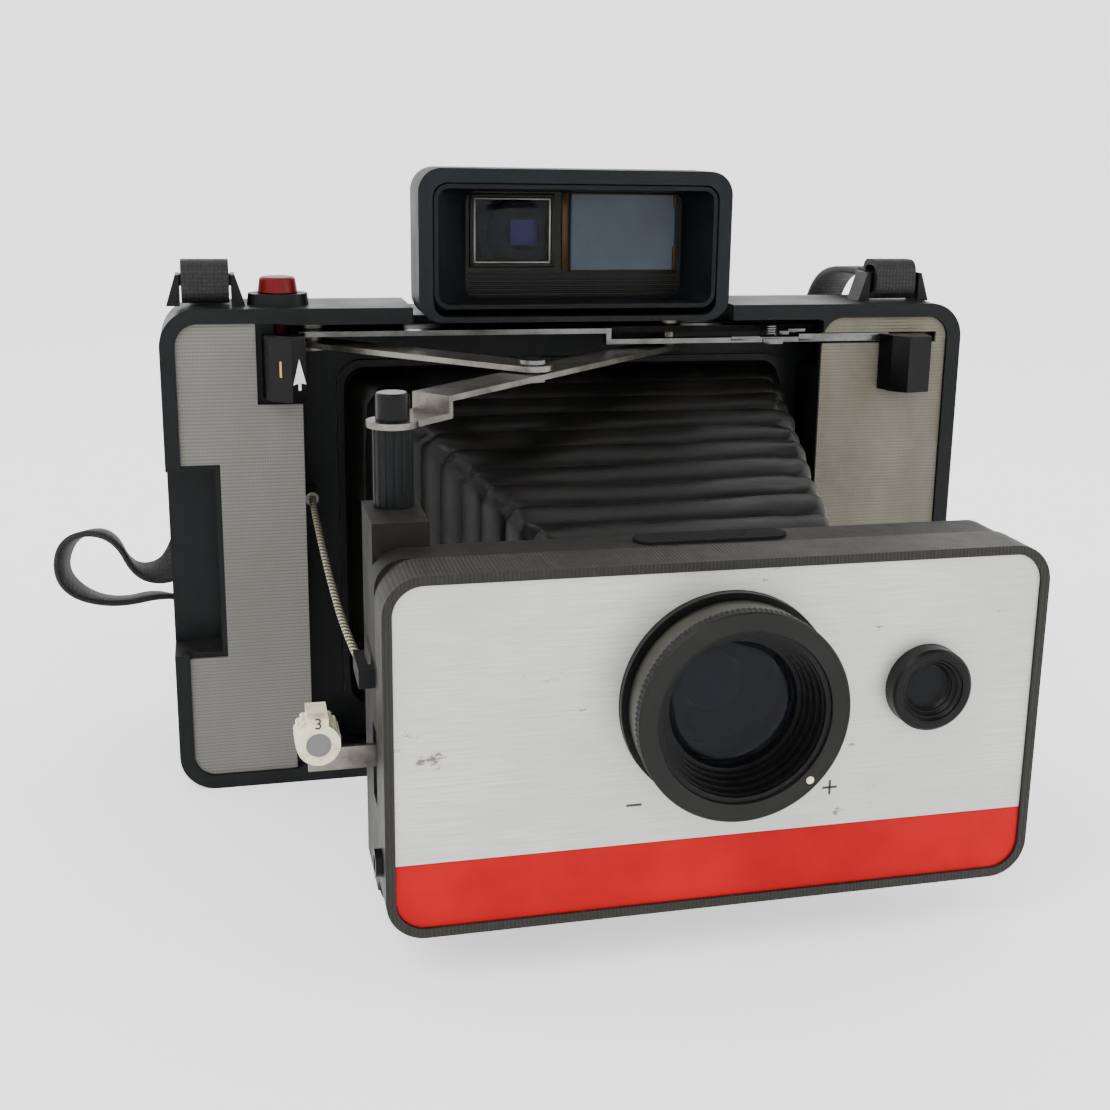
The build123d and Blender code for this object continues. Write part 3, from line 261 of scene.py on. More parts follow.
def clear_glass(name, tint, gloss=0.5):
    """Coated optical glass: clear and smooth, its coating leaves only a faint reflection, slightly grey in depth."""
    finish, tree, shader = new_finish(name)
    shader.inputs["Base Color"].default_value = linear(tint)
    shader.inputs["Roughness"].default_value = 0.05
    shader.inputs["Transmission Weight"].default_value = 1.0
    shader.inputs["IOR"].default_value = 1.2
    shader.inputs["Specular IOR Level"].default_value = gloss
    return finish


def frosted_window(name):
    """Blue-grey window with a dull film inside: cloudy, a few specks, still glossy in front."""
    finish, tree, shader = new_finish(name)
    at = where(tree)
    cloud = grain(tree, at, 11.0, 4.0, 0.6)
    specks = grain(tree, at, 1.1, 3.0, 0.8)
    ground = ramp(tree, cloud, 0.3, 0.7, linear("333d49"), linear("29323d"))
    colour = ramp(tree, specks, 0.72, 0.8, ground, linear("5d6771"))
    tree.links.new(colour, shader.inputs["Base Color"])
    shader.inputs["Roughness"].default_value = 0.3
    shader.inputs["Specular IOR Level"].default_value = 0.25
    return finish


def pleated_vinyl(name):
    """Soft black-brown leathercloth: low sheen along the folds, fine crinkles, faint rubbed patches."""
    finish, tree, shader = new_finish(name)
    at = where(tree)
    crinkle = grain(tree, stretch(tree, at, (0.45, 1.0, 1.0)), 2.2, 6.0, 0.65)
    pores = grain(tree, at, 0.45, 2.0)
    clouds = grain(tree, at, 15.0, 5.0, 0.65)
    height = ramp(tree, pores, 0.2, 0.8, linear("000000"), linear("404040"))
    surface = add(tree, "ShaderNodeMath", {0: crinkle, 1: height}, operation="ADD").outputs[0]
    colour = ramp(tree, clouds, 0.35, 0.7, linear("070706"), linear("0f0d0c"))
    tree.links.new(colour, shader.inputs["Base Color"])
    tree.links.new(spread(tree, clouds, 0.3, 0.7, 0.3, 0.5), shader.inputs["Roughness"])
    shader.inputs["Specular IOR Level"].default_value = 0.14
    relief(tree, shader, surface, 0.16, 0.6)
    return finish


def woven_strap(name):
    """Black webbing: tight crossing threads with a slight nap and frayed grey highlights."""
    finish, tree, shader = new_finish(name)
    at = where(tree)
    threads = add(
        tree, "ShaderNodeTexVoronoi", {"Vector": at, "Scale": 1000.0 / 0.9, "Randomness": 0.25}, feature="F1"
    ).outputs["Distance"]
    fray = grain(tree, at, 0.6, 4.0, 0.8)
    ground = ramp(tree, threads, 0.1, 0.6, linear("1e1e20"), linear("0c0c0d"))
    colour = ramp(tree, fray, 0.68, 0.8, ground, linear("3e3d3c"))
    tree.links.new(colour, shader.inputs["Base Color"])
    shader.inputs["Roughness"].default_value = 0.66
    shader.inputs["Specular IOR Level"].default_value = 0.3
    relief(tree, shader, threads, 0.2, 0.9)
    return finish


def braided_wire(name):
    """Steel braid round the release cable: crossing strands with dark gaps."""
    finish, tree, shader = new_finish(name)
    at = where(tree)
    strands = bands(tree, at, 0.9, "DIAGONAL")
    colour = ramp(tree, strands, 0.2, 0.75, linear("4e4b40"), linear("b8b39c"))
    tree.links.new(colour, shader.inputs["Base Color"])
    shader.inputs["Metallic"].default_value = 0.8
    shader.inputs["Roughness"].default_value = 0.38
    relief(tree, shader, strands, 0.12, 1.0)
    return finish


def cream_plastic(name):
    """Aged ivory plastic: warm and slightly waxy, grimy in its hollows."""
    finish, tree, shader = new_finish(name)
    at = where(tree)
    grime = grain(tree, at, 3.0, 5.0, 0.7)
    colour = ramp(tree, grime, 0.45, 0.78, linear("ded7bc"), linear("a8966c"))
    tree.links.new(colour, shader.inputs["Base Color"])
    shader.inputs["Roughness"].default_value = 0.42
    shader.inputs["Subsurface Weight"].default_value = 0.12
    shader.inputs["Subsurface Scale"].default_value = 0.001
    relief(tree, shader, grime, 0.02, 0.4)
    return finish


def printed_ink(name, colour, rough=0.5):
    """Printed ink, rubbed thin in places."""
    finish, tree, shader = new_finish(name)
    wear = grain(tree, where(tree), 0.8, 4.0, 0.7)
    ink = linear(colour)
    faded = tuple(c * 0.72 for c in ink[:3]) + (1.0,)
    tree.links.new(ramp(tree, wear, 0.5, 0.75, ink, faded), shader.inputs["Base Color"])
    shader.inputs["Roughness"].default_value = rough
    return finish


FINISH_OF = {
    "body_plastic": lambda: moulded_plastic("body_black_plastic", "0c0e0f", "121415", (0.34, 0.5), 0.3, 0.012),
    "finder_plastic": lambda: moulded_plastic("finder_black_plastic", "0f1214", "15181a", (0.4, 0.52), 0.3, 0.012),
    # painted shade: the tunnel is the hood's black plastic made darker, as shade inside the hood
    "finder_inside": lambda: moulded_plastic("finder_tunnel_shaded_plastic", "090b0d", "0f1113", (0.36, 0.5), 0.3, 0.01, 0.0),
    "panel_inside": lambda: moulded_plastic("finder_panel_plastic", "121211", "1a1917", (0.3, 0.42), 0.3, 0.01, 0.0),
    "cover_plastic": lambda: lined_plastic("cover_lined_plastic", "1d1c18", "25231f", 0.75, "X"),
    "standard_plastic": lambda: moulded_plastic("standard_dark_plastic", "131211", "1a1917", (0.42, 0.6), 0.5, 0.03),
    "lens_plastic": lambda: moulded_plastic("lens_black_plastic", "0b0b0b", "101010", (0.26, 0.4), 0.25, 0.006, 0.0),
    "ring_plastic": lambda: moulded_plastic(
        "ring_dark_plastic", "121211", "191817", (0.4, 0.5), 0.3, 0.008, dust=0.04, gloss=0.15
    ),
    "cap_plastic": lambda: moulded_plastic(
        "cap_gloss_plastic", "030304", "060607", (0.16, 0.24), 0.6, 0.004, dust=0.0, gloss=0.14
    ),
    "red_button": lambda: moulded_plastic("button_red_plastic", "5c0c10", "48080b", (0.3, 0.45), 0.4, 0.01, 0.05),
    "door_paint": lambda: moulded_plastic("door_black_paint", "121415", "191b1c", (0.34, 0.5), 0.7, 0.05, 0.08),
    "trim_cloth": lambda: ribbed_trim("trim_ribbed_grille"),
    "plate_metal": lambda: brushed_plate("plate_brushed_aluminium"),
    "red_enamel": lambda: red_enamel("band_red_enamel"),
    "strut_steel": lambda: plated_steel("strut_satin_nickel", "73716b", "45403a"),
    "bright_steel": lambda: plated_steel("bar_bright_steel", "636463", "3d3a36", (0.14, 0.28)),
    "barrel_metal": lambda: plated_steel("barrel_grey_metal", "57544d", "403e38", (0.3, 0.4), (1.0, 1.0, 1.0)),
    # painted shade: the guides are made near black, standing in for the shade above the focus bar
    "rail_steel": lambda: plated_steel("rail_near_black_painted_shade", "171615", "0e0d0c", (0.35, 0.5)),
    "roller_steel": lambda: plated_steel("roller_ground_steel", "c4c4c2", "a6a5a0", (0.14, 0.26), (1.0, 1.0, 0.05)),
    "battery_can": lambda: plated_steel("battery_zinc_can", "8f9093", "77787b", (0.35, 0.5)),
    "lens_glass": lambda: clear_glass("lens_coated_glass", "8f98a8", 0.4),
    "cell_glass": lambda: clear_glass("cell_lens_glass", "6c7588", 0.4),
    "window_glass": lambda: frosted_window("window_frosted_blue"),
    "mirror_glass": lambda: plated_steel("mirror_silvered", "e6e6e6", "d8d8d8", (0.03, 0.05)),
    "bellows_skin": lambda: pleated_vinyl("bellows_black_vinyl"),
    "strap_fabric": lambda: woven_strap("strap_black_webbing"),
    "cable_braid": lambda: braided_wire("cable_steel_braid"),
    "knob_cream": lambda: cream_plastic("knob_ivory_plastic"),
    "foam_black": lambda: moulded_plastic("foam_black_pad", "0c0d0d", "141515", (0.8, 0.95), 0.9, 0.3, 0.0),
    "bronze": lambda: plated_steel("strip_bronze", "3b2d1d", "221a11", (0.3, 0.45)),
    "white_ink": lambda: printed_ink("mark_white_ink", "d8d8d4"),
    "yellow_ink": lambda: printed_ink("mark_yellow_ink", "b8932b"),
    "dark_ink": lambda: printed_ink("mark_dark_ink", "2a2722"),
    # painted reflection: an opaque violet pane standing in for the coloured reflection of the eyepiece's coating
    "violet_reflection": lambda: printed_ink("eyepiece_painted_violet_reflection", "7a5cae", 0.25),
}
FINISHES = {}


def finish_named(key):
    """The material of that key, made once."""
    if key not in FINISHES:
        FINISHES[key] = FINISH_OF[key]()
    return FINISHES[key]


CAD_FINISHES = {
    "body_plastic": ["body_shell", "strap_lugs", "button_boss", "roller_frame", "post_sleeve", "cable_anchor",
                     "door_latch", "eyepiece_frame"],
    "cap_plastic": ["focus_buttons", "post_cap"],
    "finder_plastic": ["finder_housing"],
    "finder_inside": ["finder_tunnel"],
    "panel_inside": ["finder_panel"],
    "standard_plastic": ["rear_housing"],
    "cover_plastic": ["front_cover"],
    "lens_plastic": ["shutter_blade_upper", "shutter_blade_lower", "flash_socket", "bellows_rear_frame", "eye_ring",
                     "lens_barrel"],
    "ring_plastic": ["exposure_ring"],
    "red_button": ["shutter_button"],
    "door_paint": ["film_door"],
    "trim_cloth": ["left_trim_panel", "right_trim_panel"],
    "plate_metal": ["faceplate"],
    "red_enamel": ["red_band"],
    "rail_steel": ["slider_guides"],
    "strut_steel": ["hinge_pins", "short_strut_upper", "short_strut_lower", "long_strut_upper",
                    "long_strut_lower", "post", "slider_pins", "cable_gland", "bellows_front_frame",
                    "door_hinge", "pressure_spring", "cocking_lever"],
    "bright_steel": ["focus_bar", "knob_disc", "strut_rivets"],
    "roller_steel": ["spread_roller_front", "spread_roller_rear"],
    "battery_can": ["battery"],
    "lens_glass": ["front_lens", "eye_window", "finder_objective", "eyepiece_lens"],
    "cell_glass": ["rear_lens"],
    "window_glass": ["finder_window"],
    "mirror_glass": ["range_mirror"],
    "knob_cream": ["cocking_knob"],
    "foam_black": ["foam_strip"],
    "bellows_skin": ["bellows"],
    "strap_fabric": ["strap_loops", "neck_strap"],
    "cable_braid": ["release_cable"],
}


def clothe(piece, key):
    """Gives a piece one material."""
    piece.data.materials.clear()
    piece.data.materials.append(finish_named(key))


# ---------------------------------------------------------------- modelling helpers


def start_clean():
    """Leaves edit mode with nothing selected."""
    if bpy.context.object and bpy.context.object.mode != "OBJECT":
        bpy.ops.object.mode_set(mode="OBJECT")
    bpy.ops.object.select_all(action="DESELECT")


def only(piece):
    """Selects one object and makes it active."""
    start_clean()
    piece.select_set(True)
    bpy.context.view_layer.objects.active = piece


def settle(piece, smooth_deg=None):
    """Applies the transform so that the piece's place is in its mesh."""
    only(piece)
    bpy.ops.object.transform_apply(location=True, rotation=True, scale=True)
    if smooth_deg is not None:
        bpy.ops.object.shade_smooth_by_angle(angle=radians(smooth_deg))


def name_active(name):
    """Names the active object and its data."""
    piece = bpy.context.object
    piece.name = name
    piece.data.name = name
    return piece


def new_box(name, x, y, z, bevel_mm=0.0, segments=2):
    """A box between three (low, high) pairs in millimetres, its edges rounded."""
    start_clean()
    middle = mm(*((pair[0] + pair[1]) / 2 for pair in (x, y, z)))
    bpy.ops.mesh.primitive_cube_add(size=1.0, location=middle)
    piece = name_active(name)
    piece.scale = mm(*(pair[1] - pair[0] for pair in (x, y, z)))
    settle(piece)
    if bevel_mm:
        bpy.ops.object.mode_set(mode="EDIT")
        bpy.ops.mesh.select_all(action="SELECT")
        bpy.ops.mesh.bevel(offset=bevel_mm * MM, segments=segments, profile=0.5, affect="EDGES")
        bpy.ops.object.mode_set(mode="OBJECT")
    bpy.ops.object.shade_smooth_by_angle(angle=radians(35))
    return piece


def joined(name, pieces):
    """Joins several meshes into one piece."""
    start_clean()
    for piece in pieces:
        piece.select_set(True)
    bpy.context.view_layer.objects.active = pieces[0]
    bpy.ops.object.join()
    return name_active(name)


def figure(name, body, centre, turn, height_mm, turn_z=0.0, depth_mm=0.05):
    """A plain number standing on a face, as a mesh."""
    start_clean()
    bpy.ops.object.text_add(location=mm(*centre), rotation=(turn[0], turn[1], turn[2] + turn_z))
    piece = name_active(name)
    piece.data.body = body
    piece.data.size = height_mm * MM
    piece.data.align_x = "CENTER"
    piece.data.align_y = "CENTER"
    piece.data.extrude = depth_mm * MM
    bpy.ops.object.convert(target="MESH")
    piece = bpy.context.object
    settle(piece)
    return piece


# ---------------------------------------------------------------- user's sizes and colours


class StageSettings(bpy.types.PropertyGroup):
    """Camera and light."""

    lens_mm: bpy.props.FloatProperty(name="Lens", description="Focal length of the view", default=49.2, min=20.0)
    key_power: bpy.props.FloatProperty(name="Key light", description="Power of the large soft light", default=9.5)
    fill_power: bpy.props.FloatProperty(name="Fill light", description="Power of the side light", default=3.6)
    floor_colour: bpy.props.FloatVectorProperty(
        name="Floor", description="Colour of the table", subtype="COLOR", size=4, default=(0.9, 0.9, 0.9, 1.0)
    )


class BellowsSettings(bpy.types.PropertyGroup):
    """Folded skin between body and front."""

    pleats: bpy.props.IntProperty(name="Pleats", description="Number of outward folds", default=10, min=4)
    fold_depth: bpy.props.FloatProperty(
        name="Fold depth", description="How far a fold goes in", default=2.6 * MM, unit="LENGTH"
    )


class StrapSettings(bpy.types.PropertyGroup):
    """Neck strap and release cable."""

    strap_width: bpy.props.FloatProperty(
        name="Strap width", description="Width of the webbing", default=10.5 * MM, unit="LENGTH"
    )
    strap_thickness: bpy.props.FloatProperty(
        name="Strap thickness", description="Thickness of the webbing", default=1.5 * MM, unit="LENGTH"
    )
    cable_radius: bpy.props.FloatProperty(
        name="Cable radius", description="Radius of the braided release cable", default=0.8 * MM, unit="LENGTH"
    )


# ---------------------------------------------------------------- stage


def aim(location, target):
    """A rotation that looks from location to target."""
    return (Vector(target) - Vector(location)).to_track_quat("-Z", "Y").to_euler()


def soft_light(name, location, target, size, power, colour=(1.0, 1.0, 1.0)):
    """One large rectangular light."""
    start_clean()
    bpy.ops.object.light_add(type="AREA", location=location, rotation=aim(location, target))
    lamp = name_active(name)
    lamp.data.shape = "RECTANGLE"
    lamp.data.size, lamp.data.size_y = size
    lamp.data.energy = power
    lamp.data.color = colour
    return lamp


class CAMERA_OT_stage(bpy.types.Operator):
    """Table, soft studio light and the view from the front left"""

    bl_idname = "folding_camera.stage"
    bl_label = "Stage"

    def execute(self, context):
        chosen = context.scene.folding_stage
        start_clean()
        flat, bowl, steps = 1.3, 0.9, 6  # metres of level table, metres of the curve that rises round it
        bpy.ops.mesh.primitive_circle_add(vertices=96, radius=flat, fill_type="NOTHING", location=(0, 0, 0))
        rise = name_active("table_rise")
        bpy.ops.object.mode_set(mode="EDIT")
        bpy.ops.mesh.select_all(action="SELECT")
        radius, height = flat, 0.0
        for step in range(1, steps + 1):
            turn = pi / 2 * step / steps
            wider, higher = flat + bowl * sin(turn), bowl * (1 - cos(turn))
            bpy.ops.mesh.extrude_edges_move(TRANSFORM_OT_translate={"value": (0, 0, higher - height)})
            bpy.ops.transform.resize(value=(wider / radius, wider / radius, 1.0), center_override=(0, 0, higher))
            radius, height = wider, higher
        bpy.ops.mesh.extrude_edges_move(TRANSFORM_OT_translate={"value": (0, 0, 1.6)})
        bpy.ops.object.mode_set(mode="OBJECT")
        bpy.ops.object.shade_smooth()
        bpy.ops.mesh.primitive_circle_add(vertices=96, radius=flat, fill_type="NGON", location=(0, 0, 0))
        floor = name_active("table_top")
        table = joined("table", [floor, rise])
        finish, tree, shader = new_finish("table_pale_matte")
        clouds = grain(tree, where(tree), 120.0)
        tone = ramp(tree, clouds, 0.3, 0.7, tuple(chosen.floor_colour), (0.88, 0.88, 0.88, 1.0))
        tree.links.new(tone, shader.inputs["Base Color"])
        shader.inputs["Roughness"].default_value = 0.9
        shader.inputs["Specular IOR Level"].default_value = 0.1
        shader.inputs["Emission Color"].default_value = (1.0, 1.0, 1.0, 1.0)
        shader.inputs["Emission Strength"].default_value = 0.8
        table.data.materials.append(finish)

        soft_light("key_light", (-0.6, -0.6, 1.1), (0.0, -0.02, 0.05), (0.8, 0.6), chosen.key_power)
        soft_light("fill_light", (0.95, -0.55, 0.5), (0.0, -0.05, 0.06), (0.7, 0.7), chosen.fill_power)
        soft_light("top_light", (0.05, 0.35, 1.1), (0.0, 0.0, 0.05), (1.2, 0.8), chosen.fill_power * 1.2)
        sky = bpy.data.worlds.new("studio_air")
        context.scene.world = sky
        sky.use_nodes = True
        background = sky.node_tree.nodes["Background"]
        background.inputs["Color"].default_value = (1.0, 1.0, 1.0, 1.0)
        background.inputs["Strength"].default_value = 0.32

        # the eye stands 14.6 degrees to the left and 14.2 degrees up, rolled slightly
        azimuth, elevation, roll = radians(-14.6), radians(14.2), radians(1.18)
        back = Vector((sin(azimuth) * cos(elevation), -cos(azimuth) * cos(elevation), sin(elevation)))
        level = Vector((0, 0, 1)).cross(back).normalized()
        upright = back.cross(level)
        right = cos(roll) * level + sin(roll) * upright
        above = -sin(roll) * level + cos(roll) * upright
        start_clean()
        bpy.ops.object.camera_add()
        eye = name_active("eye")
        turned = Matrix((right, above, back)).transposed().to_4x4()
        looked_at, distance = mm(5.5, 0.0, 63.1), 0.372
        eye.matrix_world = Matrix.Translation(looked_at + back * distance) @ turned
        eye.data.lens = chosen.lens_mm
        eye.data.sensor_width = 36.0
        eye.data.shift_x = -0.045
        eye.data.shift_y = -0.034
        eye.data.clip_start = 0.01
        context.scene.camera = eye
        return {"FINISHED"}


# ---------------------------------------------------------------- strap and cable

STRAP_ROUTE = [
    (-87.0, 17.4, 120.7), (-87.0, 38.0, 121.6), (-87.6, 56.0, 109.0), (-88.4, 61.0, 84.0), (-90.0, 57.0, 60.0),
    (-96.0, 52.0, 41.0), (-108.0, 50.0, 39.5), (-113.0, 49.0, 52.5), (-124.5, 50.0, 51.5), (-127.0, 52.0, 38.5),
    (-115.0, 55.0, 30.5), (-99.0, 58.0, 33.0), (-86.0, 61.0, 22.0), (-72.0, 65.0, 7.5), (-46.0, 73.0, 5.6),
    (-14.0, 86.0, 5.5), (22.0, 89.0, 5.6), (54.0, 78.0, 5.8), (76.0, 66.0, 13.0), (84.5, 60.5, 36.0),
    (84.0, 62.0, 64.0), (82.6, 61.0, 91.0), (81.8, 54.0, 113.0), (81.4, 37.0, 121.6), (81.4, 17.4, 120.7),
]
# degrees that the webbing is turned at each point: flat at the lugs, on edge in the loop and on the table
STRAP_TURN = [
    0, 0, 1, 2, 3, 38, 73, 70, 79, 56, 22, 25, -18, -60, -60, -61, -61, -61, -63, -32, -33, -33, -34, -35, -35,
]
CABLE_ROUTE = [
    (-64.6, 6.0, 69.0), (-64.4, -10.0, 66.0), (-63.6, -34.0, 60.6), (-62.6, -58.0, 57.2), (-61.6, -74.0, 57.0),
]


def smooth_line(name, route):
    """One smooth curve drawn by the points of a route in millimetres."""
    start_clean()
    bpy.ops.curve.primitive_nurbs_path_add()
    piece = name_active(name)
    piece.location = (0, 0, 0)
    piece.data.splines.clear()
    line = piece.data.splines.new("NURBS")
    line.points.add(len(route) - 1)
    for point, place in zip(line.points, route):
        point.co = (*mm(*place), 1.0)
    line.order_u = 3
    line.use_endpoint_u = True
    line.resolution_u = 10
    piece.data.dimensions = "3D"
    return piece


class CAMERA_OT_strap(bpy.types.Operator):
    """Flat woven neck strap from lug to lug"""

    bl_idname = "folding_camera.strap"
    bl_label = "Neck strap"

    def execute(self, context):
        chosen = context.scene.folding_strap
        strap = smooth_line("neck_strap_webbing", STRAP_ROUTE)
        for point, turn in zip(strap.data.splines[0].points, STRAP_TURN):
            point.tilt = radians(turn)
        start_clean()
        bpy.ops.curve.primitive_bezier_circle_add(radius=1.0)
        section = name_active("strap_section")
        section.data.splines.clear()
        edge = section.data.splines.new("POLY")
        half_w, half_t = chosen.strap_width / 2 - 0.1 * MM, chosen.strap_thickness / 2
        ease = half_t * 0.6
        corners = [
            (-half_w, -half_t + ease), (-half_w, half_t - ease), (-half_w + ease, half_t), (half_w - ease, half_t),
            (half_w, half_t - ease), (half_w, -half_t + ease), (half_w - ease, -half_t), (-half_w + ease, -half_t),
        ]
        edge.points.add(len(corners) - 1)
        for point, corner in zip(edge.points, corners):
            point.co = (corner[0], corner[1], 0.0, 1.0)
        edge.use_cyclic_u = True
        strap.data.bevel_mode = "OBJECT"
        strap.data.bevel_object = section
        strap.data.use_fill_caps = True
        strap.data.twist_mode = "MINIMUM"
        clothe(strap, "strap_fabric")
        section.hide_render = True
        section.hide_viewport = True
        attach(strap, "root")
        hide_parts("neck_strap")
        return {"FINISHED"}


class CAMERA_OT_cable(bpy.types.Operator):
    """Braided shutter release cable from body to front"""

    bl_idname = "folding_camera.cable"
    bl_label = "Release cable"

    def execute(self, context):
        chosen = context.scene.folding_strap
        cable = smooth_line("release_cable_braid", CABLE_ROUTE)
        cable.data.bevel_depth = chosen.cable_radius
        cable.data.bevel_resolution = 5
        cable.data.use_fill_caps = True
        only(cable)
        bpy.ops.object.convert(target="MESH")
        cable = bpy.context.object
        clothe(cable, "cable_braid")
        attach(cable, "root")
        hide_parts("release_cable")
        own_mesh(cable)
        return {"FINISHED"}


# ---------------------------------------------------------------- bellows


def rounded_outline(name, x, z, y, corner_mm, segments=5):
    """The outline of an upright rectangle with round corners, as one open-faced ring of edges."""
    start_clean()
    middle = mm((x[0] + x[1]) / 2, y, (z[0] + z[1]) / 2)
    bpy.ops.mesh.primitive_plane_add(size=1.0, location=middle, rotation=(pi / 2, 0, 0))
    piece = name_active(name)
    piece.scale = ((x[1] - x[0]) * MM, (z[1] - z[0]) * MM, 1.0)
    settle(piece)
    bpy.ops.object.mode_set(mode="EDIT")
    bpy.ops.mesh.select_all(action="SELECT")
    bpy.ops.mesh.bevel(offset=corner_mm * MM, segments=segments, affect="VERTICES")
    bpy.ops.mesh.delete(type="ONLY_FACE")
    bpy.ops.mesh.select_all(action="SELECT")
    return piece


# share of a pleat's length, and how far in the skin lies there as a share of the fold's depth
FOLD_PROFILE = ((0.0, 1.0), (0.07, 0.3), (0.24, 0.06), (0.5, 0.0), (0.74, 0.12), (0.93, 0.4))


class CAMERA_OT_bellows(bpy.types.Operator):
    """Pleated bellows tapering from the body to the front"""

    bl_idname = "folding_camera.bellows"
    bl_label = "Bellows"

    def execute(self, context):
        chosen = context.scene.folding_bellows
        low, high = (Vector(v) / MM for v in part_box("bellows"))
        back_y, front_y = high.y - 0.2, low.y + 0.2
        back_x, back_z = (low.x, high.x), (low.z, high.z)
        front_x, front_z = (-26.0, 33.6), (26.0, 79.0)
        skin = rounded_outline("bellows_pleated", back_x, back_z, back_y, 5.5)
        depth = chosen.fold_depth / MM
        rings = [
            ((pleat + along) / chosen.pleats, inset * depth)
            for pleat in range(chosen.pleats)
            for along, inset in FOLD_PROFILE
        ][1:] + [(1.0, depth)]
        before = [back_x, back_z]
        before_y = back_y
        for share, inset in rings:
            now = []
            for rear, fore in ((back_x, front_x), (back_z, front_z)):
                now.append(
                    (rear[0] + share * (fore[0] - rear[0]) + inset, rear[1] + share * (fore[1] - rear[1]) - inset)
                )
            now_y = back_y + share * (front_y - back_y)
            shift = mm((sum(now[0]) - sum(before[0])) / 2, now_y - before_y, (sum(now[1]) - sum(before[1])) / 2)
            bpy.ops.mesh.extrude_edges_move(TRANSFORM_OT_translate={"value": shift})
            grow = [(n[1] - n[0]) / (b[1] - b[0]) for n, b in zip(now, before)]
            middle = mm(sum(now[0]) / 2, now_y, sum(now[1]) / 2)
            bpy.ops.transform.resize(value=(grow[0], 1.0, grow[1]), center_override=middle)
            before, before_y = now, now_y
        bpy.ops.mesh.select_all(action="SELECT")
        bpy.ops.mesh.remove_doubles(threshold=0.00001)
        bpy.ops.mesh.normals_make_consistent(inside=False)
        bpy.ops.object.mode_set(mode="OBJECT")
        folds = skin.modifiers.new("folds", "SUBSURF")
        folds.levels = folds.render_levels = 2
        bpy.ops.object.modifier_apply(modifier="folds")
        self.slacken(skin, mm(*(sum(pair) / 2 for pair in (back_x, (0, 0), back_z))), front_y * MM)
        wall = skin.modifiers.new("wall", "SOLIDIFY")
        wall.thickness = 0.6 * MM
        wall.offset = -1.0
        bpy.ops.object.modifier_apply(modifier="wall")
        bpy.ops.object.shade_smooth()
        clothe(skin, "bellows_skin")
        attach(skin, "root")
        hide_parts("bellows")
        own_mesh(skin)
        return {"FINISHED"}

    def slacken(self, skin, centre, front_y):
        """Soft hollows along the pleats and pinched creases where they turn each corner."""
        rear_y, rear_half, taper = 0.0155, (0.0555, 0.043), (0.0257, 0.0165)
        held_y, rear_ease, front_ease = 0.013, 0.008, 0.006  # the ends stay on their frames
        sag, crease = 0.0007, 0.0016
        for vertex in skin.data.vertices:
            place = vertex.co
            across = place - centre
            inward = Vector((-across.x, 0.0, -across.z)).normalized()
            free = min(1.0, max(0.0, (held_y - place.y) / rear_ease))
            free *= min(1.0, max(0.0, (place.y - front_y) / front_ease))
            share = (rear_y - place.y) / (rear_y - front_y)
            half_x, half_z = (half - share * less for half, less in zip(rear_half, taper))
            corner = max(0.0, 1.0 - 9.0 * abs(abs(across.x) / half_x - abs(across.z) / half_z))
            slack = noise.noise(Vector((place.x * 45.0, place.y * 110.0, place.z * 45.0)))
            pinch = noise.noise(place * 260.0)
            vertex.co += inward * free * (sag * (slack + 0.4) + crease * corner * (pinch + 0.35))


# ---------------------------------------------------------------- finishes on the CAD pieces


class CAMERA_OT_finishes(bpy.types.Operator):
    """Materials of the turned, pressed and moulded parts"""

    bl_idname = "folding_camera.finishes"
    bl_label = "Finishes"

    def execute(self, context):
        dressed = set()
        for key, nodes in CAD_FINISHES.items():
            for node in nodes:
                clothe(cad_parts[node], key)
                dressed.add(node)
        bare = set(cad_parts) - dressed
        if bare:
            raise RuntimeError(f"nodes without a finish: {sorted(bare)}")
        return {"FINISHED"}


# ---------------------------------------------------------------- finder details


def frame_of_bars(name, x, z, y, width, bevel_mm=0.2):
    """Four bars round a window, between x and z pairs."""
    low_x, high_x = (x[0], x[0] + width), (x[1] - width, x[1])
    low_z, high_z = (z[0], z[0] + width), (z[1] - width, z[1])
    bars = [
        new_box("bar", x, y, low_z, bevel_mm),
        new_box("bar", x, y, high_z, bevel_mm),
        new_box("bar", low_x, y, z, bevel_mm),
        new_box("bar", high_x, y, z, bevel_mm),
    ]
    return joined(name, bars)


def turned_ring(name, centre, profile, steps=64):
    """A ring about a line along Y, spun from (radius, y) points in millimetres."""
    start_clean()
    x, z = centre
    bpy.ops.mesh.primitive_plane_add(size=1.0)
    piece = name_active(name)
    bpy.ops.object.mode_set(mode="EDIT")
    bpy.ops.mesh.select_all(action="SELECT")
    bpy.ops.mesh.merge(type="CENTER")
    bpy.ops.object.mode_set(mode="OBJECT")
    piece.data.vertices[0].co = mm(x + profile[0][0], profile[0][1], z)
    bpy.ops.object.mode_set(mode="EDIT")
    bpy.ops.mesh.select_all(action="SELECT")
    for (radius, y), (next_radius, next_y) in zip(profile, profile[1:]):
        bpy.ops.mesh.extrude_vertices_move(
            TRANSFORM_OT_translate={"value": mm(next_radius - radius, next_y - y, 0.0)}
        )
    bpy.ops.mesh.select_all(action="SELECT")
    bpy.ops.mesh.spin(steps=steps, angle=2 * pi, center=mm(x, 0.0, z), axis=(0.0, 1.0, 0.0))
    bpy.ops.mesh.select_all(action="SELECT")
    bpy.ops.mesh.remove_doubles(threshold=0.000005)
    bpy.ops.mesh.normals_make_consistent(inside=False)
    bpy.ops.object.mode_set(mode="OBJECT")
    bpy.ops.object.shade_smooth_by_angle(angle=radians(40))
    return piece


def put_on(piece, key, body="root"):
    """Finishes a piece and makes it ride on a body."""
    clothe(piece, key)
    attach(piece, body)
    return piece


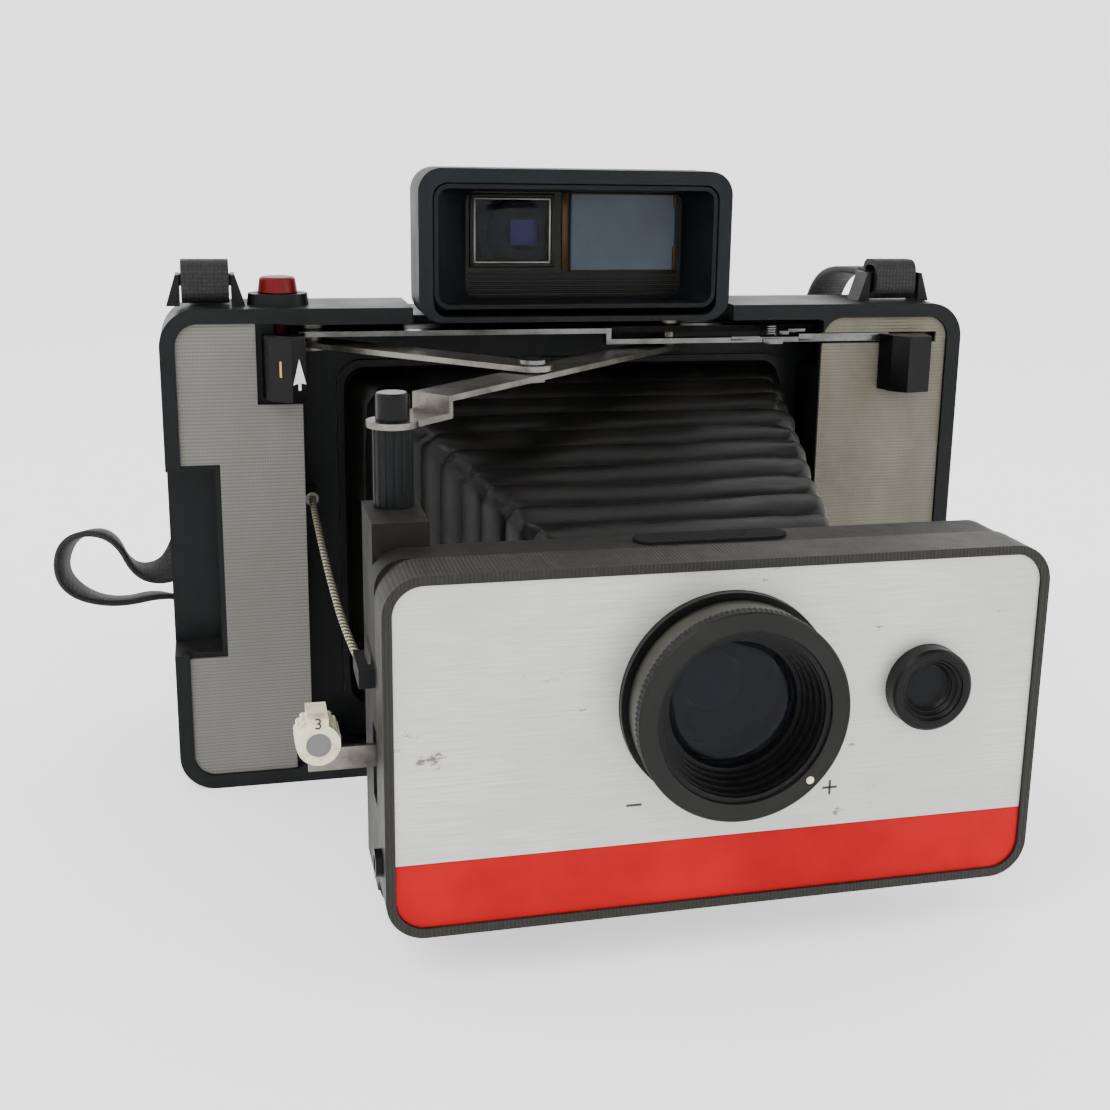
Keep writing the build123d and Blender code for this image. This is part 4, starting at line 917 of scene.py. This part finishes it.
class CAMERA_OT_finder(bpy.types.Operator):
    """Ribbed light traps, bronze strips, moulded lens surround, the eyepiece's violet reflection painted on a pane
    and a black sheet as painted shade behind it, inside the finder hood
    """

    bl_idname = "folding_camera.finder"
    bl_label = "Finder details"

    def execute(self, context):
        panel_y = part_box("finder_panel")[0][1] / MM
        lens_low, lens_high = (Vector(v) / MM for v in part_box("finder_objective"))
        window_low, window_high = (Vector(v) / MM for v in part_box("finder_window"))
        front = (panel_y - 0.55, panel_y + 0.1)

        left = (window_low.x - 1.9, window_low.x - 0.6)
        right = (window_high.x - 0.9, window_high.x - 0.2)
        strips = [
            new_box("strip", x, front, z, 0.2)
            for x, z in (
                (left, (window_low.z + 0.6, window_high.z)),
                (right, (window_low.z, window_low.z + 6.2)),
                (right, (window_high.z - 3.6, window_high.z)),
            )
        ]
        put_on(joined("finder_bronze_strips", strips), "bronze")

        floor_z = lens_low.z - 7.0
        pitch, ridge, width = 1.05, 0.5, (lens_low.x - 0.4, window_high.x + 0.6)
        lines = [
            new_box("line", width, front, (floor_z + pitch * row, floor_z + pitch * row + ridge), 0.12)
            for row in range(6)
        ]
        put_on(joined("finder_step_lines", lines), "panel_inside")

        surround = frame_of_bars(
            "finder_lens_surround",
            (lens_low.x, lens_high.x),
            (lens_low.z, lens_high.z),
            (front[0] - 0.3, front[1]),
            0.8,
            0.25,
        )
        put_on(surround, "panel_inside")
        edge = frame_of_bars(
            "finder_lens_edge",
            (lens_low.x + 0.9, lens_high.x - 0.9),
            (lens_low.z + 0.9, lens_high.z - 0.9),
            (front[0] - 0.1, front[1] + 0.3),
            0.45,
            0.15,
        )
        put_on(edge, "strut_steel")
        window_edge = frame_of_bars(
            "finder_window_edge", (window_low.x, window_high.x), (window_low.z, window_high.z), front, 0.45, 0.12
        )
        put_on(window_edge, "panel_inside")

        eye_x, eye_z = -11.3, (lens_low.z + lens_high.z) / 2 - 0.7
        cup = turned_ring(
            "finder_eye_cup",
            (eye_x, eye_z),
            [(r, panel_y + y) for r, y in ((9.6, 1.9), (8.6, 2.2), (7.4, 4.4), (5.0, 5.2), (4.9, 6.6))],
        )
        thick = cup.modifiers.new("wall", "SOLIDIFY")
        thick.thickness = 0.4 * MM
        only(cup)
        bpy.ops.object.modifier_apply(modifier="wall")
        put_on(cup, "cap_plastic")
        # painted reflection: the violet of the eyepiece coating's reflection, painted on an opaque pane
        pane = new_box(
            "finder_violet_pane",
            (eye_x - 3.4, eye_x + 3.4),
            (panel_y + 4.2, panel_y + 4.8),
            (eye_z - 3.2, eye_z + 3.2),
            0.3,
        )
        put_on(pane, "violet_reflection")
        # painted shade: a black sheet behind the eyepiece standing in for the dark inside of the hood, not a real
        # foam pad
        rear = new_box(
            "finder_painted_shade_sheet",
            (-27.0, 27.0),
            (panel_y + 9.5, panel_y + 10.0),
            (lens_low.z - 6.0, lens_high.z + 1.0),
            0.2,
        )
        put_on(rear, "foam_black")
        return {"FINISHED"}


# ---------------------------------------------------------------- marks


def flat_shape(name, outline, lift_mm):
    """A thin printed shape from (x, y, z) points in millimetres, raised along its own normal."""
    start_clean()
    bpy.ops.mesh.primitive_circle_add(vertices=len(outline), radius=1.0, fill_type="NGON")
    piece = name_active(name)
    for vertex, place in zip(piece.data.vertices, outline):
        vertex.co = mm(*place)
    bpy.ops.object.mode_set(mode="EDIT")
    bpy.ops.mesh.select_all(action="SELECT")
    bpy.ops.mesh.normals_make_consistent(inside=False)
    bpy.ops.object.mode_set(mode="OBJECT")
    wall = piece.modifiers.new("ink", "SOLIDIFY")
    wall.thickness = lift_mm * MM
    wall.offset = 0.0
    bpy.ops.object.modifier_apply(modifier="ink")
    return piece


class CAMERA_OT_marks(bpy.types.Operator):
    """Plain numbers, arrows and index dots"""

    bl_idname = "folding_camera.marks"
    bl_label = "Marks"

    def execute(self, context):
        ring_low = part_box("exposure_ring")[0][1] / MM
        dome = [(r, ring_low - y) for r, y in ((0.75, 0.02), (0.6, 0.25), (0.0, 0.3))]
        dot = turned_ring("exposure_index_dot", (16.6, 40.6), dome, 20)
        put_on(dot, "knob_cream", "aperture_ring")
        put_on(figure("knob_number", "3", (-70.0, -85.28, 48.6), (pi / 2, 0, 0), 3.0), "dark_ink", "cocking")

        # the left button: a yellow 1 on its left facet and a white arrow on its front facet
        low, high = (Vector(v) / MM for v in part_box("focus_buttons"))
        ridge, front_y, side_y = (low.x + 6.2, low.y), low.y, low.y + 3.4
        slope = (ridge[0] - (low.x + 1.4), front_y - side_y)
        facet = Vector((slope[0], slope[1], 0.0)).normalized()
        outward = Vector((facet.y, -facet.x, 0.0))
        middle = Vector((low.x + 1.4 + slope[0] * 0.5, side_y + slope[1] * 0.5, 0.0)) + outward * 0.04
        facing = -Vector((1, 0)).angle(facet.xy)
        place = (middle.x, middle.y, high.z - 7.6)
        number = figure("button_number", "1", place, (pi / 2, 0, 0), 5.2, turn_z=facing)
        put_on(number, "yellow_ink", "focus_slide")
        run = Vector((low.x + 9.3 - ridge[0], 1.2))
        def on_front(along, up):
            return (ridge[0] + run.x * along, front_y + run.y * along - 0.05, high.z - 12.0 + up)
        arrow = [(0.42, 0.0), (0.62, 0.0), (0.62, 1.6), (0.98, 1.3), (0.52, 7.0), (0.06, 1.3), (0.42, 1.6)]
        put_on(flat_shape("button_arrow", [on_front(*point) for point in arrow], 0.08), "white_ink", "focus_slide")

        # lighter and darker signs beside the ring: a plus and a minus
        plate_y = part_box("faceplate")[0][1] / MM
        ink, level, upright = (plate_y - 0.05, plate_y + 0.1), (1.5, 0.25), (0.25, 1.5)
        z = 33.4
        for name, x, strokes in (("darker_mark", -13.5, [level]), ("lighter_mark", 25.5, [level, upright])):
            bars = [new_box("stroke", (x - w, x + w), ink, (z - h, z + h), 0.03) for w, h in strokes]
            put_on(joined(name, bars), "dark_ink", "front")
        return {"FINISHED"}


class CAMERA_OT_lens(bpy.types.Operator):
    """Grey metal waist behind the knurled ring and rim of the light cell"""

    bl_idname = "folding_camera.lens"
    bl_label = "Lens trim"

    def execute(self, context):
        low, high = (Vector(v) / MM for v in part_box("exposure_ring"))
        centre = ((low.x + high.x) / 2, (low.z + high.z) / 2)
        waist_r = (high.x - low.x) / 2 - 0.9
        waist = turned_ring(
            "ring_metal_waist",
            centre,
            [
                (waist_r + 0.05, low.y + 2.9),
                (waist_r + 0.45, low.y + 3.1),
                (waist_r + 0.45, high.y - 0.9),
                (waist_r + 0.05, high.y - 0.7),
            ],
            96,
        )
        put_on(waist, "barrel_metal", "aperture_ring")
        eye_low, eye_high = (Vector(v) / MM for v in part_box("eye_ring"))
        eye = ((eye_low.x + eye_high.x) / 2, (eye_low.z + eye_high.z) / 2)
        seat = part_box("eye_window")[0][1] / MM
        steps = turned_ring(
            "light_cell_steps",
            eye,
            [(6.7, eye_low.y + 0.1), (6.2, eye_low.y + 0.1), (6.1, eye_low.y + 0.9), (5.5, eye_low.y + 1.0),
             (5.4, eye_low.y + 1.8), (4.8, eye_low.y + 1.9), (4.6, seat - 0.1), (4.2, seat - 0.05)],
        )
        put_on(steps, "lens_plastic", "front")
        return {"FINISHED"}


# ---------------------------------------------------------------- panel, registration, making


class CAMERA_OT_linkage(bpy.types.Operator):
    """Coil spring, catch plates and the thick end of the focus bar"""

    bl_idname = "folding_camera.linkage"
    bl_label = "Focus linkage"

    def execute(self, context):
        bar_low, bar_high = (Vector(v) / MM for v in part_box("focus_bar"))
        edge, level, front = bar_high.x - 17.7, bar_low.z, bar_low.y
        turns, radius, rise = 4, 1.35, 2.3
        route = [
            (
                edge - 13.3 + radius * cos(2 * pi * step / 12),
                front + 1.5 + radius * sin(2 * pi * step / 12),
                level + 1.6 + rise * step / (12 * turns),
            )
            for step in range(12 * turns + 1)
        ]
        spring = smooth_line("linkage_coil_spring", route)
        spring.data.resolution_u = 3
        spring.data.bevel_depth = 0.24 * MM
        spring.data.bevel_resolution = 2
        spring.data.use_fill_caps = True
        only(spring)
        bpy.ops.object.convert(target="MESH")
        bpy.ops.object.shade_smooth()
        put_on(spring, "strut_steel")

        tabs = [
            new_box("tab", (edge - 15.8, edge - 10.6), (front - 0.5, front + 0.1), (level - 0.5, level + 0.9), 0.2),
            new_box("tab", (edge - 24.0, edge - 16.6), (front - 0.3, front + 0.1), (level + 0.5, level + 1.5), 0.15),
            new_box("tab", (edge - 6.5, edge + 17.6), (front - 0.15, front + 0.5), (level + 0.05, level + 2.0), 0.25),
        ]
        put_on(joined("focus_bar_plates", tabs), "bright_steel", "focus_slide")
        catch = [
            new_box("catch", (edge - 11.4, edge - 8.8), (front + 0.3, front + 1.1), (level + 1.7, level + 2.7), 0.2),
            new_box("catch", (edge - 8.9, edge - 4.4), (front + 0.9, front + 1.5), (level + 2.1, level + 3.1), 0.2),
        ]
        put_on(joined("linkage_catch", catch), "bright_steel")
        return {"FINISHED"}


class CAMERA_PT_panel(bpy.types.Panel):
    """Buttons that make the camera's pieces"""

    bl_idname = "CAMERA_PT_panel"
    bl_label = "Folding camera"
    bl_space_type = "VIEW_3D"
    bl_region_type = "UI"
    bl_category = "Camera"

    def draw(self, context):
        for operator in OPERATORS:
            self.layout.operator(operator.bl_idname)
        for group in ("folding_stage", "folding_bellows", "folding_strap"):
            settings = getattr(context.scene, group)
            for prop in settings.bl_rna.properties:
                if not prop.is_readonly and prop.identifier != "name":
                    self.layout.prop(settings, prop.identifier)


OPERATORS = [
    CAMERA_OT_stage,
    CAMERA_OT_strap,
    CAMERA_OT_cable,
    CAMERA_OT_finishes,
    CAMERA_OT_bellows,
    CAMERA_OT_finder,
    CAMERA_OT_lens,
    CAMERA_OT_marks,
    CAMERA_OT_linkage,
]
GROUPS = {
    "folding_stage": StageSettings,
    "folding_bellows": BellowsSettings,
    "folding_strap": StrapSettings,
}


def register():
    for name, group in GROUPS.items():
        bpy.utils.register_class(group)
        setattr(bpy.types.Scene, name, bpy.props.PointerProperty(type=group))
    for operator in OPERATORS:
        bpy.utils.register_class(operator)
    bpy.utils.register_class(CAMERA_PT_panel)


def unregister():
    bpy.utils.unregister_class(CAMERA_PT_panel)
    for operator in reversed(OPERATORS):
        bpy.utils.unregister_class(operator)
    for name, group in GROUPS.items():
        delattr(bpy.types.Scene, name)
        bpy.utils.unregister_class(group)


def main():
    register()
    for operator in OPERATORS:
        group, call = operator.bl_idname.split(".")
        getattr(getattr(bpy.ops, group), call)()
    start_clean()


if __name__ == "__main__":
    main()
